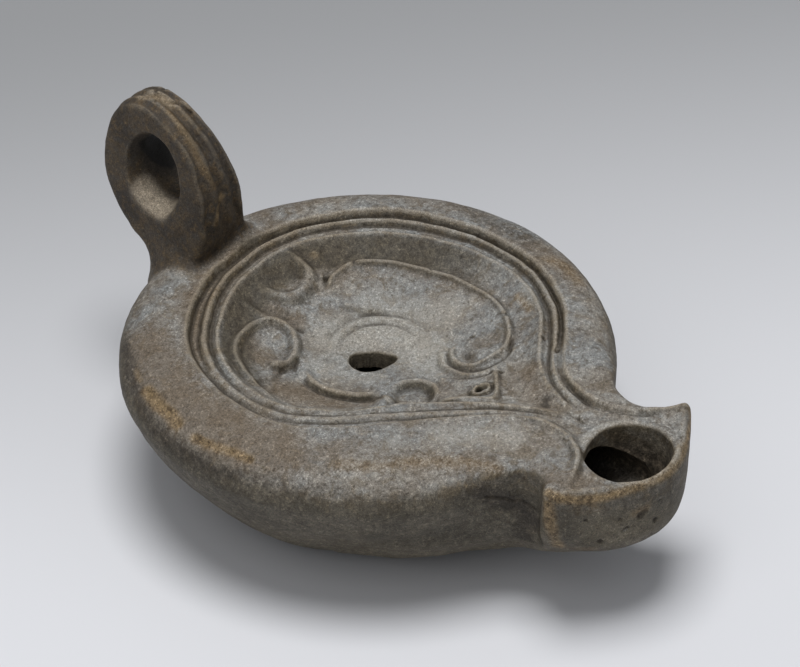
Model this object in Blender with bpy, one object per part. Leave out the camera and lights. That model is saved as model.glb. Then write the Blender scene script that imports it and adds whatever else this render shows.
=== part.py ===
# Roman moulded oil lamp: one hollow piece of fired clay.
# Round body with a sunken discus, framing rings that open into a short channel,
# a nozzle with two side horns and a wick hole, and a pierced upright handle.
# Origin: centre of the flat base, on the ground. +Z up, nozzle to -Y, handle to +Y.
# All sizes below are in millimetres and are turned into metres by MM.

import math

import bmesh
import bpy
import numpy as np
from mathutils import Vector

MM = 0.001

# ---------------------------------------------------------------- body
BASE_R = 22.6          # radius of the flat base
RIM_Z = 28.0           # height of the crest of the inner framing ring
TOP_Z = 28.3           # height of the shoulder beside the rings
SIDE = (               # outer profile, base to shoulder: (radius, height)
    (BASE_R, 0.0), (25.2, 1.6), (29.0, 5.0), (32.8, 9.4), (36.0, 14.2),
    (38.4, 18.8), (39.7, 22.2), (39.5, 24.4), (37.9, 26.3), (35.3, 27.7), (31.6, TOP_Z),
)
BODY_STEPS = 76        # points round the body, without the nozzle

# ---------------------------------------------------------------- nozzle
NOZZLE_ANGLE = 25.0    # half angle at which the nozzle leaves the body circle
NOZZLE_SKEW = 0.14     # the nozzle end is set a little askew, by hand
NOZZLE_HALF = (        # right half of the outline seen from above
    (14.2, -38.2), (12.5, -40.2), (12.0, -42.4), (12.4, -44.5), (13.9, -46.0),
    (15.2, -47.2), (15.2, -49.0), (13.2, -51.4), (10.2, -53.8), (6.6, -56.2), (3.3, -57.6),
)
NOZZLE_TIP = (0.0, -58.1)
NOZZLE_SIDE = (        # (share of the way from base circle to outline, height)
    (0.0, 0.0), (0.10, 1.2), (0.27, 4.0), (0.47, 7.0), (0.68, 10.0),
    (0.86, 12.7), (0.965, 15.6), (0.995, 19.5), (1.0, 24.6), (0.99, 27.0), (0.965, TOP_Z),
)
NOZZLE_CORNER_LIFT = 2.4   # the underside rises towards the two front corners
WICK_AT = (0.4, -50.3)  # centre of the wick hole
WICK_R = 6.8
NOZZLE_TOP_Z = 27.3    # flat round the wick hole, below the shoulder

# ---------------------------------------------------------------- discus and rings
RING_Y = -2.3          # the rings sit a little forward of the body axis
RING_R = 25.8          # crest of the inner ring
DISCUS_SLOPE = ((27.3, 29.6), (26.2, 28.5), (25.5, 27.8), (23.4, 26.4), (21.2, 25.5),
                (17.0, 24.0), (12.0, 22.9), (6.0, 22.2))
DISCUS_Z = 22.0        # lowest point of the discus
GROOVES = (            # (distance outside the crest, half width, depth)
    (1.8, 1.0, 1.1), (4.5, 0.75, 1.0),
)
TANGENT = 50.0         # degrees from the nozzle axis at which the rings leave the circle
CHANNEL_END_Y = -44.0
CHANNEL_Z = 26.4
FILL_HOLE = (3.9, 3.05, -50.0)   # half length, half width, turn in degrees
FILL_AT = (-0.8, -1.3)
AIR_HOLE_AT = (0.6, -21.5)
AIR_HOLE_R = 1.0

# ---------------------------------------------------------------- hollow
CAVITY = (             # inner profile: (radius, height), floor to roof
    (18.5, 4.6), (24.6, 7.2), (29.2, 11.9), (33.2, 17.8), (35.6, 22.4),
    (34.4, 23.8), (29.0, 24.0), (23.4, 21.4), (15.0, 18.9),
)
CAVITY_ROOF_Z = 17.9
TUNNEL_HALF_W = 8.0
TUNNEL_Z = (14.6, 23.0)
TUNNEL_END_Y = -53.6

# ---------------------------------------------------------------- handle
# outer edge seen from the side: (y, z), from the front foot over the top to the back
HANDLE_OUT = (
    (33.6, 24.0), (31.0, 28.2), (30.1, 32.5), (30.1, 37.0), (31.0, 42.2), (33.2, 47.0),
    (36.9, 51.0), (41.2, 53.6), (45.2, 54.1), (48.8, 52.0), (51.1, 48.2),
    (52.3, 42.8), (52.1, 37.2), (50.3, 32.6), (46.9, 28.8), (42.8, 24.8), (39.6, 19.0),
)
HANDLE_HOLE = (41.4, 41.2)      # centre of the finger hole (y, z)
HANDLE_HOLE_R = (4.7, 6.2)      # half sizes at mid thickness
HANDLE_HOLE_LEAN = -8.0
HANDLE_FLARE = 1.25             # the hole opens wider at both faces


def link(name, mesh):
    obj = bpy.data.objects.new(name, mesh)
    bpy.context.scene.collection.objects.link(obj)
    return obj


def loft(name, loops, cap_start=True, cap_end=True, centre_start=None, centre_end=None):
    """A closed solid through loops of equal length, given in millimetres."""
    bm = bmesh.new()
    rows = [[bm.verts.new(Vector(p) * MM) for p in loop] for loop in loops]
    n = len(rows[0])
    for low, high in zip(rows, rows[1:]):
        for i in range(n):
            j = (i + 1) % n
            bm.faces.new((low[i], low[j], high[j], high[i]))
    for row, cap, centre, turn in ((rows[0], cap_start, centre_start, True), (rows[-1], cap_end, centre_end, False)):
        if centre is not None:
            mid = bm.verts.new(Vector(centre) * MM)
            for i in range(n):
                j = (i + 1) % n
                bm.faces.new((row[j], row[i], mid) if turn else (row[i], row[j], mid))
        elif cap:
            bm.faces.new(tuple(reversed(row)) if turn else tuple(row))
    bmesh.ops.recalc_face_normals(bm, faces=bm.faces)
    mesh = bpy.data.meshes.new(name)
    bm.to_mesh(mesh)
    bm.free()
    return link(name, mesh)


def sweep(name, path, section):
    """A closed tube: the section, as (side, up) pairs, is set square to each point of an open path."""
    path = [Vector(p) for p in path]
    loops = []
    for i, p in enumerate(path):
        ahead = path[min(i + 1, len(path) - 1)] - path[max(i - 1, 0)]
        ahead.normalize()
        up = Vector((0, 0, 1))
        side = ahead.cross(up).normalized()
        loops.append([p + side * a + up * b for a, b in section])
    return loft(name, loops)


def as_cutter(obj):
    obj.hide_render = True
    obj.display_type = "WIRE"
    return obj


def combine(target, other, operation):
    modifier = target.modifiers.new(other.name, "BOOLEAN")
    modifier.operation = operation
    modifier.solver = "EXACT"
    modifier.object = other
    as_cutter(other)


def circle(radius, z, steps, cx=0.0, cy=0.0):
    return [
        (cx + radius * math.cos(2 * math.pi * i / steps), cy + radius * math.sin(2 * math.pi * i / steps), z)
        for i in range(steps)
    ]


def smooth_step(t):
    t = min(max(t, 0.0), 1.0)
    return t * t * (3 - 2 * t)


def spline(points, steps):
    """Catmull-Rom curve through the given points, sampled evenly between them."""
    pts = [np.array(p, float) for p in points]
    pts = [2 * pts[0] - pts[1]] + pts + [2 * pts[-1] - pts[-2]]
    out = []
    for k in range(1, len(pts) - 2):
        a, b, c, d = pts[k - 1 : k + 3]
        for i in range(steps):
            t = i / steps
            out.append(
                0.5 * ((2 * b) + (c - a) * t + (2 * a - 5 * b + 4 * c - d) * t**2 + (3 * b - a - 3 * c + d) * t**3)
            )
    out.append(pts[-2])
    return out


# ---------------------------------------------------------------- outer form
def nozzle_outline():
    """Outline of the nozzle, left root to right root, with the skew of its end."""
    right = list(NOZZLE_HALF)
    left = [(-x, y) for x, y in right]
    line = left + [NOZZLE_TIP] + right[::-1]
    return [
        (x, y - NOZZLE_SKEW * x * smooth_step((-y - 40.0) / 8.0))
        for x, y in line
    ]


def outer_loops():
    start = math.radians(-90 + NOZZLE_ANGLE)
    sweep_angle = 2 * math.pi - 2 * math.radians(NOZZLE_ANGLE)
    body = [start + sweep_angle * i / (BODY_STEPS - 1) for i in range(BODY_STEPS)]
    nozzle = nozzle_outline()
    m = len(nozzle)
    loops = []
    for k, (radius, height) in enumerate(SIDE):
        loop = [(radius * math.cos(a), radius * math.sin(a), height) for a in body]
        share, nozzle_height = NOZZLE_SIDE[k]
        for i, (x, y) in enumerate(nozzle):
            along = (i + 1) / (m + 1)
            angle = math.radians(-90 - NOZZLE_ANGLE + 2 * NOZZLE_ANGLE * along)
            bx, by = BASE_R * math.cos(angle), BASE_R * math.sin(angle)
            px, py = bx + (x - bx) * share, by + (y - by) * share
            cx, cy = radius * math.cos(angle), radius * math.sin(angle)
            weight = smooth_step(min(along, 1 - along) / 0.26)
            # the upper loops follow the outline itself, the lower ones the underside
            upper = smooth_step((k - 4) / 3)
            w = weight + (1 - weight) * upper
            height_w = weight
            lift = NOZZLE_CORNER_LIFT * min(abs(x) / 16.0, 1.0) ** 2 * share * smooth_step((8.5 - k) / 3)
            loop.append((
                px * w + cx * (1 - w),
                py * w + cy * (1 - w),
                (nozzle_height + lift) * height_w + height * (1 - height_w),
            ))
        loops.append(loop)
    return loops


# ---------------------------------------------------------------- handle
def handle_half_width(y, z):
    """Half thickness of the handle across X: wide at the foot, thin at the top."""
    foot = 5.4 * math.exp(-max(z - 23.0, 0.0) / 4.8)
    foot *= 1.0 - 0.45 * smooth_step((y - 36.0) / 8.0)
    return 3.4 + 1.5 * smooth_step((53.0 - z) / 16.0) + foot


def make_handle():
    outline = spline(HANDLE_OUT, 3)
    cy, cz = HANDLE_HOLE
    lean = math.radians(HANDLE_HOLE_LEAN)
    # one tube section round the hole: (share from hole edge to outer edge, share of half width)
    section = (
        (0.0, -0.35), (0.0, 0.35), (0.18, 0.9), (0.45, 1.0), (0.8, 0.97), (0.94, 0.72),
        (0.90, 0.50), (1.0, 0.24), (0.94, 0.0), (1.0, -0.24), (0.90, -0.50),
        (0.94, -0.72), (0.8, -0.97), (0.45, -1.0), (0.18, -0.9),
    )
    # close the ring under the hole, through the body of the clay
    low = [np.array((38.0, 16.6)), np.array((35.6, 19.2))]
    ring = [np.array(p) for p in outline] + low
    loops = []
    for oy, oz in ring:
        angle = math.atan2(oz - cz, oy - cy)
        a = angle - lean
        ca, sa = math.cos(a), math.sin(a)
        ry, rz = HANDLE_HOLE_R
        reach = 1.0 / math.sqrt((ca / ry) ** 2 + (sa / rz) ** 2)
        iy, iz = cy + reach * math.cos(angle), cz + reach * math.sin(angle)
        loop = []
        for share, wide in section:
            if share == 0.0:
                y, z = iy, iz
            else:
                if share < 0.3:
                    y, z = cy + (iy - cy) * HANDLE_FLARE, cz + (iz - cz) * HANDLE_FLARE
                else:
                    y, z = iy + (oy - iy) * share, iz + (oz - iz) * share
            half = handle_half_width(y, z)
            loop.append((wide * half, y, z))
        loops.append(loop)
    bm = bmesh.new()
    rows = [[bm.verts.new(Vector(p) * MM) for p in loop] for loop in loops]
    n = len(rows[0])
    for low_row, high_row in zip(rows, rows[1:] + rows[:1]):
        for i in range(n):
            j = (i + 1) % n
            bm.faces.new((low_row[i], low_row[j], high_row[j], high_row[i]))
    bmesh.ops.recalc_face_normals(bm, faces=bm.faces)
    mesh = bpy.data.meshes.new("handle")
    bm.to_mesh(mesh)
    bm.free()
    return link("handle", mesh)


# ---------------------------------------------------------------- cutters
def make_cavity():
    loops = [circle(r, z, 52) for r, z in CAVITY]
    return loft("cavity", loops, cap_end=False, centre_end=(0, 0, CAVITY_ROOF_Z))


def make_tunnel():
    low, high = TUNNEL_Z
    mid, half = (low + high) / 2, (high - low) / 2
    loops = []
    for y, share, drop in ((-24.0, 1.15, -2.2), (-34.0, 1.0, -0.6), (-44.0, 0.92, 0.0), (-49.0, 0.92, 0.0),
                           (-52.0, 0.75, 0.1), (TUNNEL_END_Y, 0.45, 0.2)):
        loop = []
        for i in range(16):
            a = 2 * math.pi * i / 16
            c, s = math.cos(a), math.sin(a)
            loop.append((
                TUNNEL_HALF_W * share * math.copysign(abs(c) ** 0.8, c),
                y,
                mid + drop + half * share * math.copysign(abs(s) ** 0.8, s),
            ))
        loops.append(loop)
    return loft("tunnel", loops)


def make_bowl():
    loops = [circle(r, z, 72, 0.0, RING_Y) for r, z in DISCUS_SLOPE]
    return loft("discus_bowl", loops, cap_end=False, centre_end=(0, RING_Y, DISCUS_Z))


def tangent_line(offset, length):
    """Foot and direction of the straight part of a ring on the +X side."""
    a = math.radians(TANGENT)
    r = RING_R + offset
    foot = Vector((r * math.sin(a), RING_Y - r * math.cos(a)))
    run = Vector((-math.cos(a), -math.sin(a)))
    return foot, foot + run * length


def make_channel():
    """The wedge between the straight parts of the rings, sunk down to the wick hole."""
    foot, _ = tangent_line(0.0, 0.0)
    a = math.radians(TANGENT)
    run = Vector((-math.cos(a), -math.sin(a)))
    reach = (foot.x - 3.4) / math.cos(a)
    neck = foot + run * reach
    plan = [
        (foot.x - 3.0, foot.y + 3.0), (foot.x, foot.y), (neck.x, neck.y), (3.0, CHANNEL_END_Y),
        (-3.0, CHANNEL_END_Y), (-neck.x, neck.y), (-foot.x, foot.y), (-foot.x + 3.0, foot.y + 3.0),
    ]
    
    def at(z, inset):
        out = []
        for x, y in plan:
            keep = abs(x)
            nx = math.copysign(max(keep - inset, 0.6), x)
            out.append((nx, y, z))
        return out

    return loft("channel", [at(30.0, -0.6), at(RIM_Z, 0.0), at(CHANNEL_Z, 1.6)])


def groove_path(offset, z):
    """Along one ring: down the left side, round the back and down the right side."""
    a = math.radians(TANGENT)
    r = RING_R + offset
    arc_start, arc_end = -math.pi / 2 + a, 1.5 * math.pi - a
    steps = 60
    arc = [
        Vector((r * math.cos(t), RING_Y + r * math.sin(t), z))
        for t in (arc_start + (arc_end - arc_start) * i / (steps - 1) for i in range(steps))
    ]
    run = Vector((-math.cos(a), -math.sin(a), 0))
    reach = (r * math.sin(a) - 3.7 - offset * 0.95) / math.cos(a)
    right = [arc[0] + run * reach * k / 4 for k in (4, 3, 2, 1)]
    left = [Vector((-p.x, p.y, p.z)) for p in reversed(right)]
    return right + arc + left


def make_groove(index, offset, half, depth):
    section = (
        (-half, 0.0), (-half * 0.5, -depth * 0.8), (half * 0.5, -depth * 0.8), (half, 0.0),
        (half * 1.2, 1.2), (-half * 1.2, 1.2),
    )
    return sweep(f"groove_{index}", groove_path(offset, TOP_Z), section)


def make_nozzle_recess():
    """The flat sunk round the wick hole, bounded by the curved ends of the shoulder."""
    right = spline(((3.4, -38.2), (5.4, -41.0), (8.0, -45.2), (11.6, -48.6), (15.2, -50.0)), 4)
    right = [(x, y - NOZZLE_SKEW * x * smooth_step((-y - 40.0) / 8.0)) for x, y in right]
    left = [(-x, y + 2 * NOZZLE_SKEW * x * smooth_step((-y - 40.0) / 8.0)) for x, y in right]
    plan = left[::-1] + right + [(19.0, -51.5), (19.0, -64.0), (-19.0, -64.0), (-19.0, -48.5)]
    low = [(x, y, NOZZLE_TOP_Z) for x, y in plan]
    high = [(x, y, 31.0) for x, y in plan]
    return loft("nozzle_recess", [low, high])


def make_wick_hole():
    levels = ((WICK_R * 1.04, 31.0), (WICK_R, NOZZLE_TOP_Z), (WICK_R - 0.3, 22.5), (WICK_R - 0.8, 18.0), (WICK_R - 2.2, 15.2))
    x, y = WICK_AT
    loops = [circle(r, z, 32, x, y + (0.8 if z < 16 else 0.0)) for r, z in levels]
    return loft("wick_hole", loops)


def make_fill_hole():
    a, b, turn = FILL_HOLE
    t = math.radians(turn)
    loops = []
    for z, grow in ((12.0, 0.95), (22.0, 1.0), (25.0, 1.12)):
        loop = []
        for i in range(20):
            u = 2 * math.pi * i / 20
            x, y = a * grow * math.cos(u), b * grow * math.sin(u)
            loop.append((FILL_AT[0] + x * math.cos(t) - y * math.sin(t), FILL_AT[1] + x * math.sin(t) + y * math.cos(t), z))
        loops.append(loop)
    return loft("filling_hole", loops)


def make_air_hole():
    x, y = AIR_HOLE_AT
    return loft("air_hole", [circle(AIR_HOLE_R, 16.0, 10, x, y), circle(AIR_HOLE_R, 29.0, 10, x, y)])


# ---------------------------------------------------------------- materials
def clay():
    material = bpy.data.materials.new("fired_clay")
    material.use_nodes = True
    shader = material.node_tree.nodes["Principled BSDF"]
    shader.inputs["Base Color"].default_value = (0.145, 0.128, 0.112, 1.0)
    shader.inputs["Roughness"].default_value = 0.62
    shader.inputs["Metallic"].default_value = 0.0
    return material


def main():
    for obj in list(bpy.data.objects):
        bpy.data.objects.remove(obj, do_unlink=True)

    lamp = loft("lamp_body", outer_loops())
    combine(lamp, make_handle(), "UNION")
    combine(lamp, make_cavity(), "DIFFERENCE")
    combine(lamp, make_tunnel(), "DIFFERENCE")
    combine(lamp, make_bowl(), "DIFFERENCE")
    combine(lamp, make_channel(), "DIFFERENCE")
    combine(lamp, make_nozzle_recess(), "DIFFERENCE")
    for index, (offset, half, depth) in enumerate(GROOVES):
        combine(lamp, make_groove(index, offset, half, depth), "DIFFERENCE")
    combine(lamp, make_wick_hole(), "DIFFERENCE")
    combine(lamp, make_fill_hole(), "DIFFERENCE")
    combine(lamp, make_air_hole(), "DIFFERENCE")
    lamp.data.materials.append(clay())
    lamp.data.shade_smooth()
    lamp.data.set_sharp_from_angle(angle=math.radians(35))


main()
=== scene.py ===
# Moulded clay oil lamp: the fine surface with its relief, pits and wear, and the fired clay.
# The whole lamp is one piece of clay, so one closed mesh stands for the CAD solid.
# Its form is written as one smooth field in millimetres, in the part's own frame
# (origin under the body axis, nozzle to -Y, handle to +Y), and the mesh is taken from it.

import math

import bpy
import numpy as np
from mathutils import Matrix, Vector


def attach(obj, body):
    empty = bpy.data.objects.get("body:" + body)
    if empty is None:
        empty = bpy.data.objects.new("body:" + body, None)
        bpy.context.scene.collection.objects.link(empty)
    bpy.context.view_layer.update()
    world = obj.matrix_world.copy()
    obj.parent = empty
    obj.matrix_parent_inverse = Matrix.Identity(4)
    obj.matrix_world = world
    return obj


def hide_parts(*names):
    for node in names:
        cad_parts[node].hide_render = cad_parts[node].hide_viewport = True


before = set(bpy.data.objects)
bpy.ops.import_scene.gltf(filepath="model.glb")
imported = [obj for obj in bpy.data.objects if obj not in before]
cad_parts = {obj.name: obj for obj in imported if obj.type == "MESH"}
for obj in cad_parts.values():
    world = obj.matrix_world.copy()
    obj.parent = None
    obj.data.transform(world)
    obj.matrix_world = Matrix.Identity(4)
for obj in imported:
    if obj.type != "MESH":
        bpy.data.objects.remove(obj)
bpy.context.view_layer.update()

MM = 0.001
CELL = 0.34        # size of the cells that the mesh is taken from, mm
TRIANGLES = 194000

# ------------------------------------------------------------------ camera
camera_data = bpy.data.cameras.new("camera")
camera = bpy.data.objects.new("camera", camera_data)
bpy.context.scene.collection.objects.link(camera)
camera_data.lens, camera_data.sensor_width, camera_data.sensor_fit = 170.1, 36.0, "HORIZONTAL"
camera_data.clip_start, camera_data.clip_end = 0.05, 20.0
AZIMUTH, ELEVATION, ROLL = math.radians(-52.03), math.radians(38.8), math.radians(0.6)
back = Vector((math.sin(AZIMUTH) * math.cos(ELEVATION), -math.cos(AZIMUTH) * math.cos(ELEVATION), math.sin(ELEVATION)))
right = Vector((math.cos(AZIMUTH), math.sin(AZIMUTH), 0.0))
up = back.cross(right)
right_r = right * math.cos(ROLL) + up * math.sin(ROLL)
up_r = -right * math.sin(ROLL) + up * math.cos(ROLL)
camera.matrix_world = Matrix((
    (right_r.x, up_r.x, back.x, -0.368076),
    (right_r.y, up_r.y, back.y, -0.293463),
    (right_r.z, up_r.z, back.z, 0.405092),
    (0, 0, 0, 1),
))
bpy.context.scene.camera = camera

# ------------------------------------------------------------------ small tools
def smooth(t):
    t = np.clip(t, 0.0, 1.0)
    return t * t * (3.0 - 2.0 * t)


def smin(a, b, k):
    h = np.clip(0.5 + 0.5 * (b - a) / k, 0.0, 1.0)
    return b + (a - b) * h - k * h * (1.0 - h)


def smax(a, b, k):
    return -smin(-a, -b, k)


def curve(points, step=0.35, closed=False):
    """Catmull-Rom curve through the points, as a row of plan positions."""
    p = np.array(points, float)
    if closed:
        p = np.vstack([p[-1:], p, p[:2]])
    else:
        p = np.vstack([2 * p[:1] - p[1:2], p, 2 * p[-1:] - p[-2:-1]])
    out = []
    for k in range(1, len(p) - 2):
        a, b, c, d = p[k - 1 : k + 3]
        n = max(2, int(np.linalg.norm(c - b) / step))
        t = (np.arange(n) / n)[:, None]
        out.append(0.5 * (2 * b + (c - a) * t + (2 * a - 5 * b + 4 * c - d) * t**2 + (3 * b - a - 3 * c + d) * t**3))
    if not closed:
        out.append(p[-2][None])
    return np.vstack(out)


def line_distance(line, x, y, closed=False):
    """Distance to a row of points, and how far along it the nearest point is, from 0 to 1."""
    best = np.full(x.shape, 1e9, np.float32)
    along = np.zeros(x.shape, np.float32)
    ends = np.vstack([line, line[:1]]) if closed else line
    lengths = np.linalg.norm(np.diff(ends, axis=0), axis=1)
    total, run = max(lengths.sum(), 1e-6), 0.0
    for (ax, ay), (bx, by), length in zip(ends[:-1], ends[1:], lengths):
        if length < 1e-9:
            continue
        dx, dy = bx - ax, by - ay
        t = np.clip(((x - ax) * dx + (y - ay) * dy) / (length * length), 0.0, 1.0)
        d = (x - ax - t * dx) ** 2 + (y - ay - t * dy) ** 2
        nearer = d < best
        best = np.where(nearer, d, best)
        along = np.where(nearer, (run + t * length) / total, along)
        run += length
    return np.sqrt(best), along


def within(line, x, y):
    found = np.zeros(x.shape, bool)
    for (ax, ay), (bx, by) in zip(line, np.roll(line, -1, axis=0)):
        if ay == by:
            continue
        found ^= ((ay > y) != (by > y)) & (x < (bx - ax) * (y - ay) / (by - ay) + ax)
    return found


def signed(line, x, y):
    """Signed distance to a closed line, negative inside."""
    d, _ = line_distance(line, x, y, closed=True)
    return np.where(within(line, x, y), -d, d)


def look(table, u, v, u0, v0, step):
    """Value of a table between its points; the last axis may hold several values."""
    a = np.clip((u - u0) / step, 0.0, table.shape[0] - 1.001)
    b = np.clip((v - v0) / step, 0.0, table.shape[1] - 1.001)
    i, j = a.astype(np.int32), b.astype(np.int32)
    a, b = (a - i).astype(np.float32), (b - j).astype(np.float32)
    if table.ndim == 3:
        a, b = a[:, None], b[:, None]
    return (table[i, j] * (1 - a) + table[i + 1, j] * a) * (1 - b) + (table[i, j + 1] * (1 - a) + table[i + 1, j + 1] * a) * b


def lattice(seed, size=32):
    return np.random.default_rng(seed).uniform(-1.0, 1.0, (size, size, size)).astype(np.float32)


LATTICE = lattice(7)


def noise(p, scale, shift=0.0):
    """Smooth random field from -1 to 1 whose bumps are about scale millimetres apart."""
    q = p / scale + (shift + 100.0)
    i = np.floor(q).astype(np.int32)
    t = (q - i).astype(np.float32)
    t = t * t * t * (t * (t * 6 - 15) + 10)
    n = LATTICE.shape[0]
    a, b = i % n, (i + 1) % n
    x, y, z = t.T
    def at(u, v, w):
        return LATTICE[u, v, w]
    low = (at(a[:, 0], a[:, 1], a[:, 2]) * (1 - x) + at(b[:, 0], a[:, 1], a[:, 2]) * x) * (1 - y) + (
        at(a[:, 0], b[:, 1], a[:, 2]) * (1 - x) + at(b[:, 0], b[:, 1], a[:, 2]) * x) * y
    high = (at(a[:, 0], a[:, 1], b[:, 2]) * (1 - x) + at(b[:, 0], a[:, 1], b[:, 2]) * x) * (1 - y) + (
        at(a[:, 0], b[:, 1], b[:, 2]) * (1 - x) + at(b[:, 0], b[:, 1], b[:, 2]) * x) * y
    return low * (1 - z) + high * z


# ------------------------------------------------------------------ sizes of the body
BODY_R, WIDEST_Z, TOP_Z = 39.7, 22.2, 28.3
SIDE = ((22.6, 0.0), (25.2, 1.6), (29.0, 5.0), (32.8, 9.4), (36.0, 14.2), (38.4, 18.8), (BODY_R, WIDEST_Z))
NOZZLE_SKEW = 0.14
NOZZLE_SIDE = ((0.0, 0.0), (0.10, 1.2), (0.27, 4.0), (0.47, 7.0), (0.68, 10.0), (0.86, 12.7), (0.965, 15.6),
               (0.995, 19.5), (1.0, 24.6))
NOZZLE_ROOT_Y = -18.0
RING_Y = -2.3                       # the relief is drawn about the centre of the rings
DISCUS_SOLE = 25.5                  # foot of the slope inside the inner ring
DISCUS_LOW = 22.0

# ------------------------------------------------------------------ plan grid
GRID = 0.125
X0, X1, Y0, Y1 = -44.0, 44.0, -63.0, 46.0
PX, PY = np.meshgrid(np.arange(X0, X1, GRID), np.arange(Y0, Y1, GRID), indexing="ij")
PX, PY = PX.astype(np.float32), PY.astype(np.float32)
QY = PY - RING_Y                    # plan height above the centre of the rings


def window(line, reach):
    """Part of the plan grid within reach of a line drawn about the centre of the rings."""
    low, high = line.min(0) - reach, line.max(0) + reach
    i0, i1 = int(max((low[0] - X0) / GRID, 0)), int(min((high[0] - X0) / GRID + 2, PX.shape[0]))
    j0, j1 = int(max((low[1] + RING_Y - Y0) / GRID, 0)), int(min((high[1] + RING_Y - Y0) / GRID + 2, PX.shape[1]))
    return slice(i0, i1), slice(j0, j1)


# ------------------------------------------------------------------ outline seen from above
def skewed(points):
    return [(x, y - NOZZLE_SKEW * x * float(smooth((-y - 40.0) / 8.0))) for x, y in points]


NOZZLE_RIGHT = ((17.6, -35.6), (14.4, -38.0), (12.4, -40.3), (11.5, -42.6), (11.8, -44.9), (13.0, -46.6), (14.7, -47.3),
                (15.9, -47.8), (16.2, -49.0), (14.6, -50.4), (12.2, -52.3), (8.8, -54.9), (4.6, -57.3))
NOZZLE_LEFT = ((-15.0, -37.4), (-12.8, -39.6), (-12.0, -42.4), (-12.4, -44.6), (-13.8, -46.3), (-15.0, -47.6), (-15.2, -49.2),
               (-13.2, -51.4), (-10.2, -53.8), (-6.6, -56.2), (-3.3, -57.6))
nozzle_line = curve(
    [(19.0, -8.0), (21.5, -24.0), (20.2, -32.0)] + skewed(NOZZLE_RIGHT) + [(0.6, -58.2)] + skewed(NOZZLE_LEFT[::-1])
    + [(-18.5, -33.0), (-21.0, -24.0), (-19.0, -8.0)], closed=True, step=0.8)
nozzle_plan = signed(nozzle_line, PX, PY).astype(np.float32)


# the underside of the nozzle has no horns
LOW_SIDE = ((21.5, -24.0), (17.5, -33.0), (14.4, -38.0), (12.6, -42.0), (12.2, -46.0), (11.6, -50.0), (9.6, -53.8), (5.6, -56.8))
low_line = curve([(19.0, -8.0)] + skewed(LOW_SIDE) + [(0.6, -58.0)] + skewed([(-x, y) for x, y in LOW_SIDE[::-1]]) + [(-19.0, -8.0)],
                 closed=True, step=0.8)
nozzle_low = signed(low_line, PX, PY).astype(np.float32)


def fuller(x, y):
    """The body was pressed a little out of round: extra radius at its left and far right."""
    around = np.arctan2(y, x)
    def swell(middle, half):
        away = np.abs((around - math.radians(middle) + math.pi) % (2 * math.pi) - math.pi)
        return smooth(1.0 - away / math.radians(half))
    return 0.05 + 0.80 * swell(152.0, 62.0) + 0.60 * swell(-6.0, 36.0) - 0.55 * swell(38.0, 32.0)


def pressed(x, y):
    """A flatter place low on the near side."""
    away = np.abs(np.arctan2(y, x) - math.radians(-141.0))
    return smooth(1.0 - away / math.radians(27.0))


outline = smin(np.hypot(PX, PY) - BODY_R - fuller(PX, PY), nozzle_plan, 1.6)

# ------------------------------------------------------------------ relief on the top
CREST = curve((
    (2.4, -38.5), (1.5, -33.8), (-1.0, -27.8), (-5.4, -20.8), (-9.4, -15.8), (-13.6, -11.2), (-17.4, -7.5), (-20.8, -4.2),
    (-22.8, -1.4), (-23.7, 1.6), (-24.0, 4.6), (-23.6, 8.6), (-22.2, 12.9), (-19.8, 16.7), (-17.2, 19.4), (-13.3, 22.3),
    (-9.2, 24.4), (-4.6, 25.9), (0.0, 26.6), (4.4, 26.5), (8.6, 25.6), (12.2, 24.0), (15.0, 22.1), (17.8, 19.6), (20.9, 16.0),
    (24.0, 10.6), (25.7, 5.6), (26.4, 0.2), (26.1, -5.6), (24.2, -11.2), (21.5, -15.2), (17.9, -18.6), (14.0, -21.2),
    (10.5, -23.7), (7.4, -26.9), (5.3, -30.9), (4.0, -36.0)), step=1.1)
RIDGE = curve((
    (2.0, -40.2), (0.4, -35.0), (-1.6, -30.2), (-5.0, -24.9), (-10.0, -18.7), (-15.0, -13.5), (-19.2, -9.2), (-22.4, -5.7),
    (-24.7, -2.0), (-25.8, 1.6), (-26.2, 5.2), (-25.7, 9.2), (-24.4, 13.2), (-22.2, 17.1), (-19.2, 20.6), (-15.2, 23.8),
    (-10.5, 26.4), (-5.3, 28.3), (-0.2, 29.2), (4.8, 29.2), (10.0, 28.2), (14.6, 26.3), (20.2, 22.0), (25.0, 15.8),
    (27.8, 9.6), (29.3, 2.6), (29.0, -5.0), (27.1, -11.0), (23.9, -16.0), (20.2, -19.9), (15.8, -23.1), (12.0, -25.6),
    (8.9, -28.5), (6.8, -32.0), (5.5, -36.0), (5.0, -40.0)), step=1.1)
STEP = curve((
    (-17.0, -42.0), (-14.2, -44.0), (-9.6, -44.5), (-5.2, -43.1), (-2.5, -40.6), (-1.4, -38.0), (-1.2, -35.4), (-1.7, -32.4),
    (-2.9, -29.6), (-5.2, -26.4), (-10.2, -21.2), (-15.6, -16.2), (-21.0, -11.2), (-25.0, -7.0), (-27.2, -3.2), (-28.1, 0.6),
    (-28.3, 4.6), (-27.8, 9.2), (-26.4, 13.9), (-24.2, 18.4), (-21.2, 22.4), (-17.0, 25.9), (-11.8, 28.7), (-6.0, 30.6),
    (0.0, 31.4), (6.0, 31.2), (11.6, 29.8), (17.0, 27.0), (22.8, 22.2), (27.0, 16.6), (29.8, 9.8), (31.1, 2.6), (30.8, -5.2),
    (28.6, -11.8), (25.0, -17.2), (21.0, -21.0), (17.0, -23.7), (13.0, -26.1), (10.0, -28.9), (8.2, -32.4), (7.5, -36.0),
    (7.7, -39.8), (9.3, -43.2), (11.6, -45.9), (14.2, -47.9), (19.0, -50.4)), step=1.1)

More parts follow.
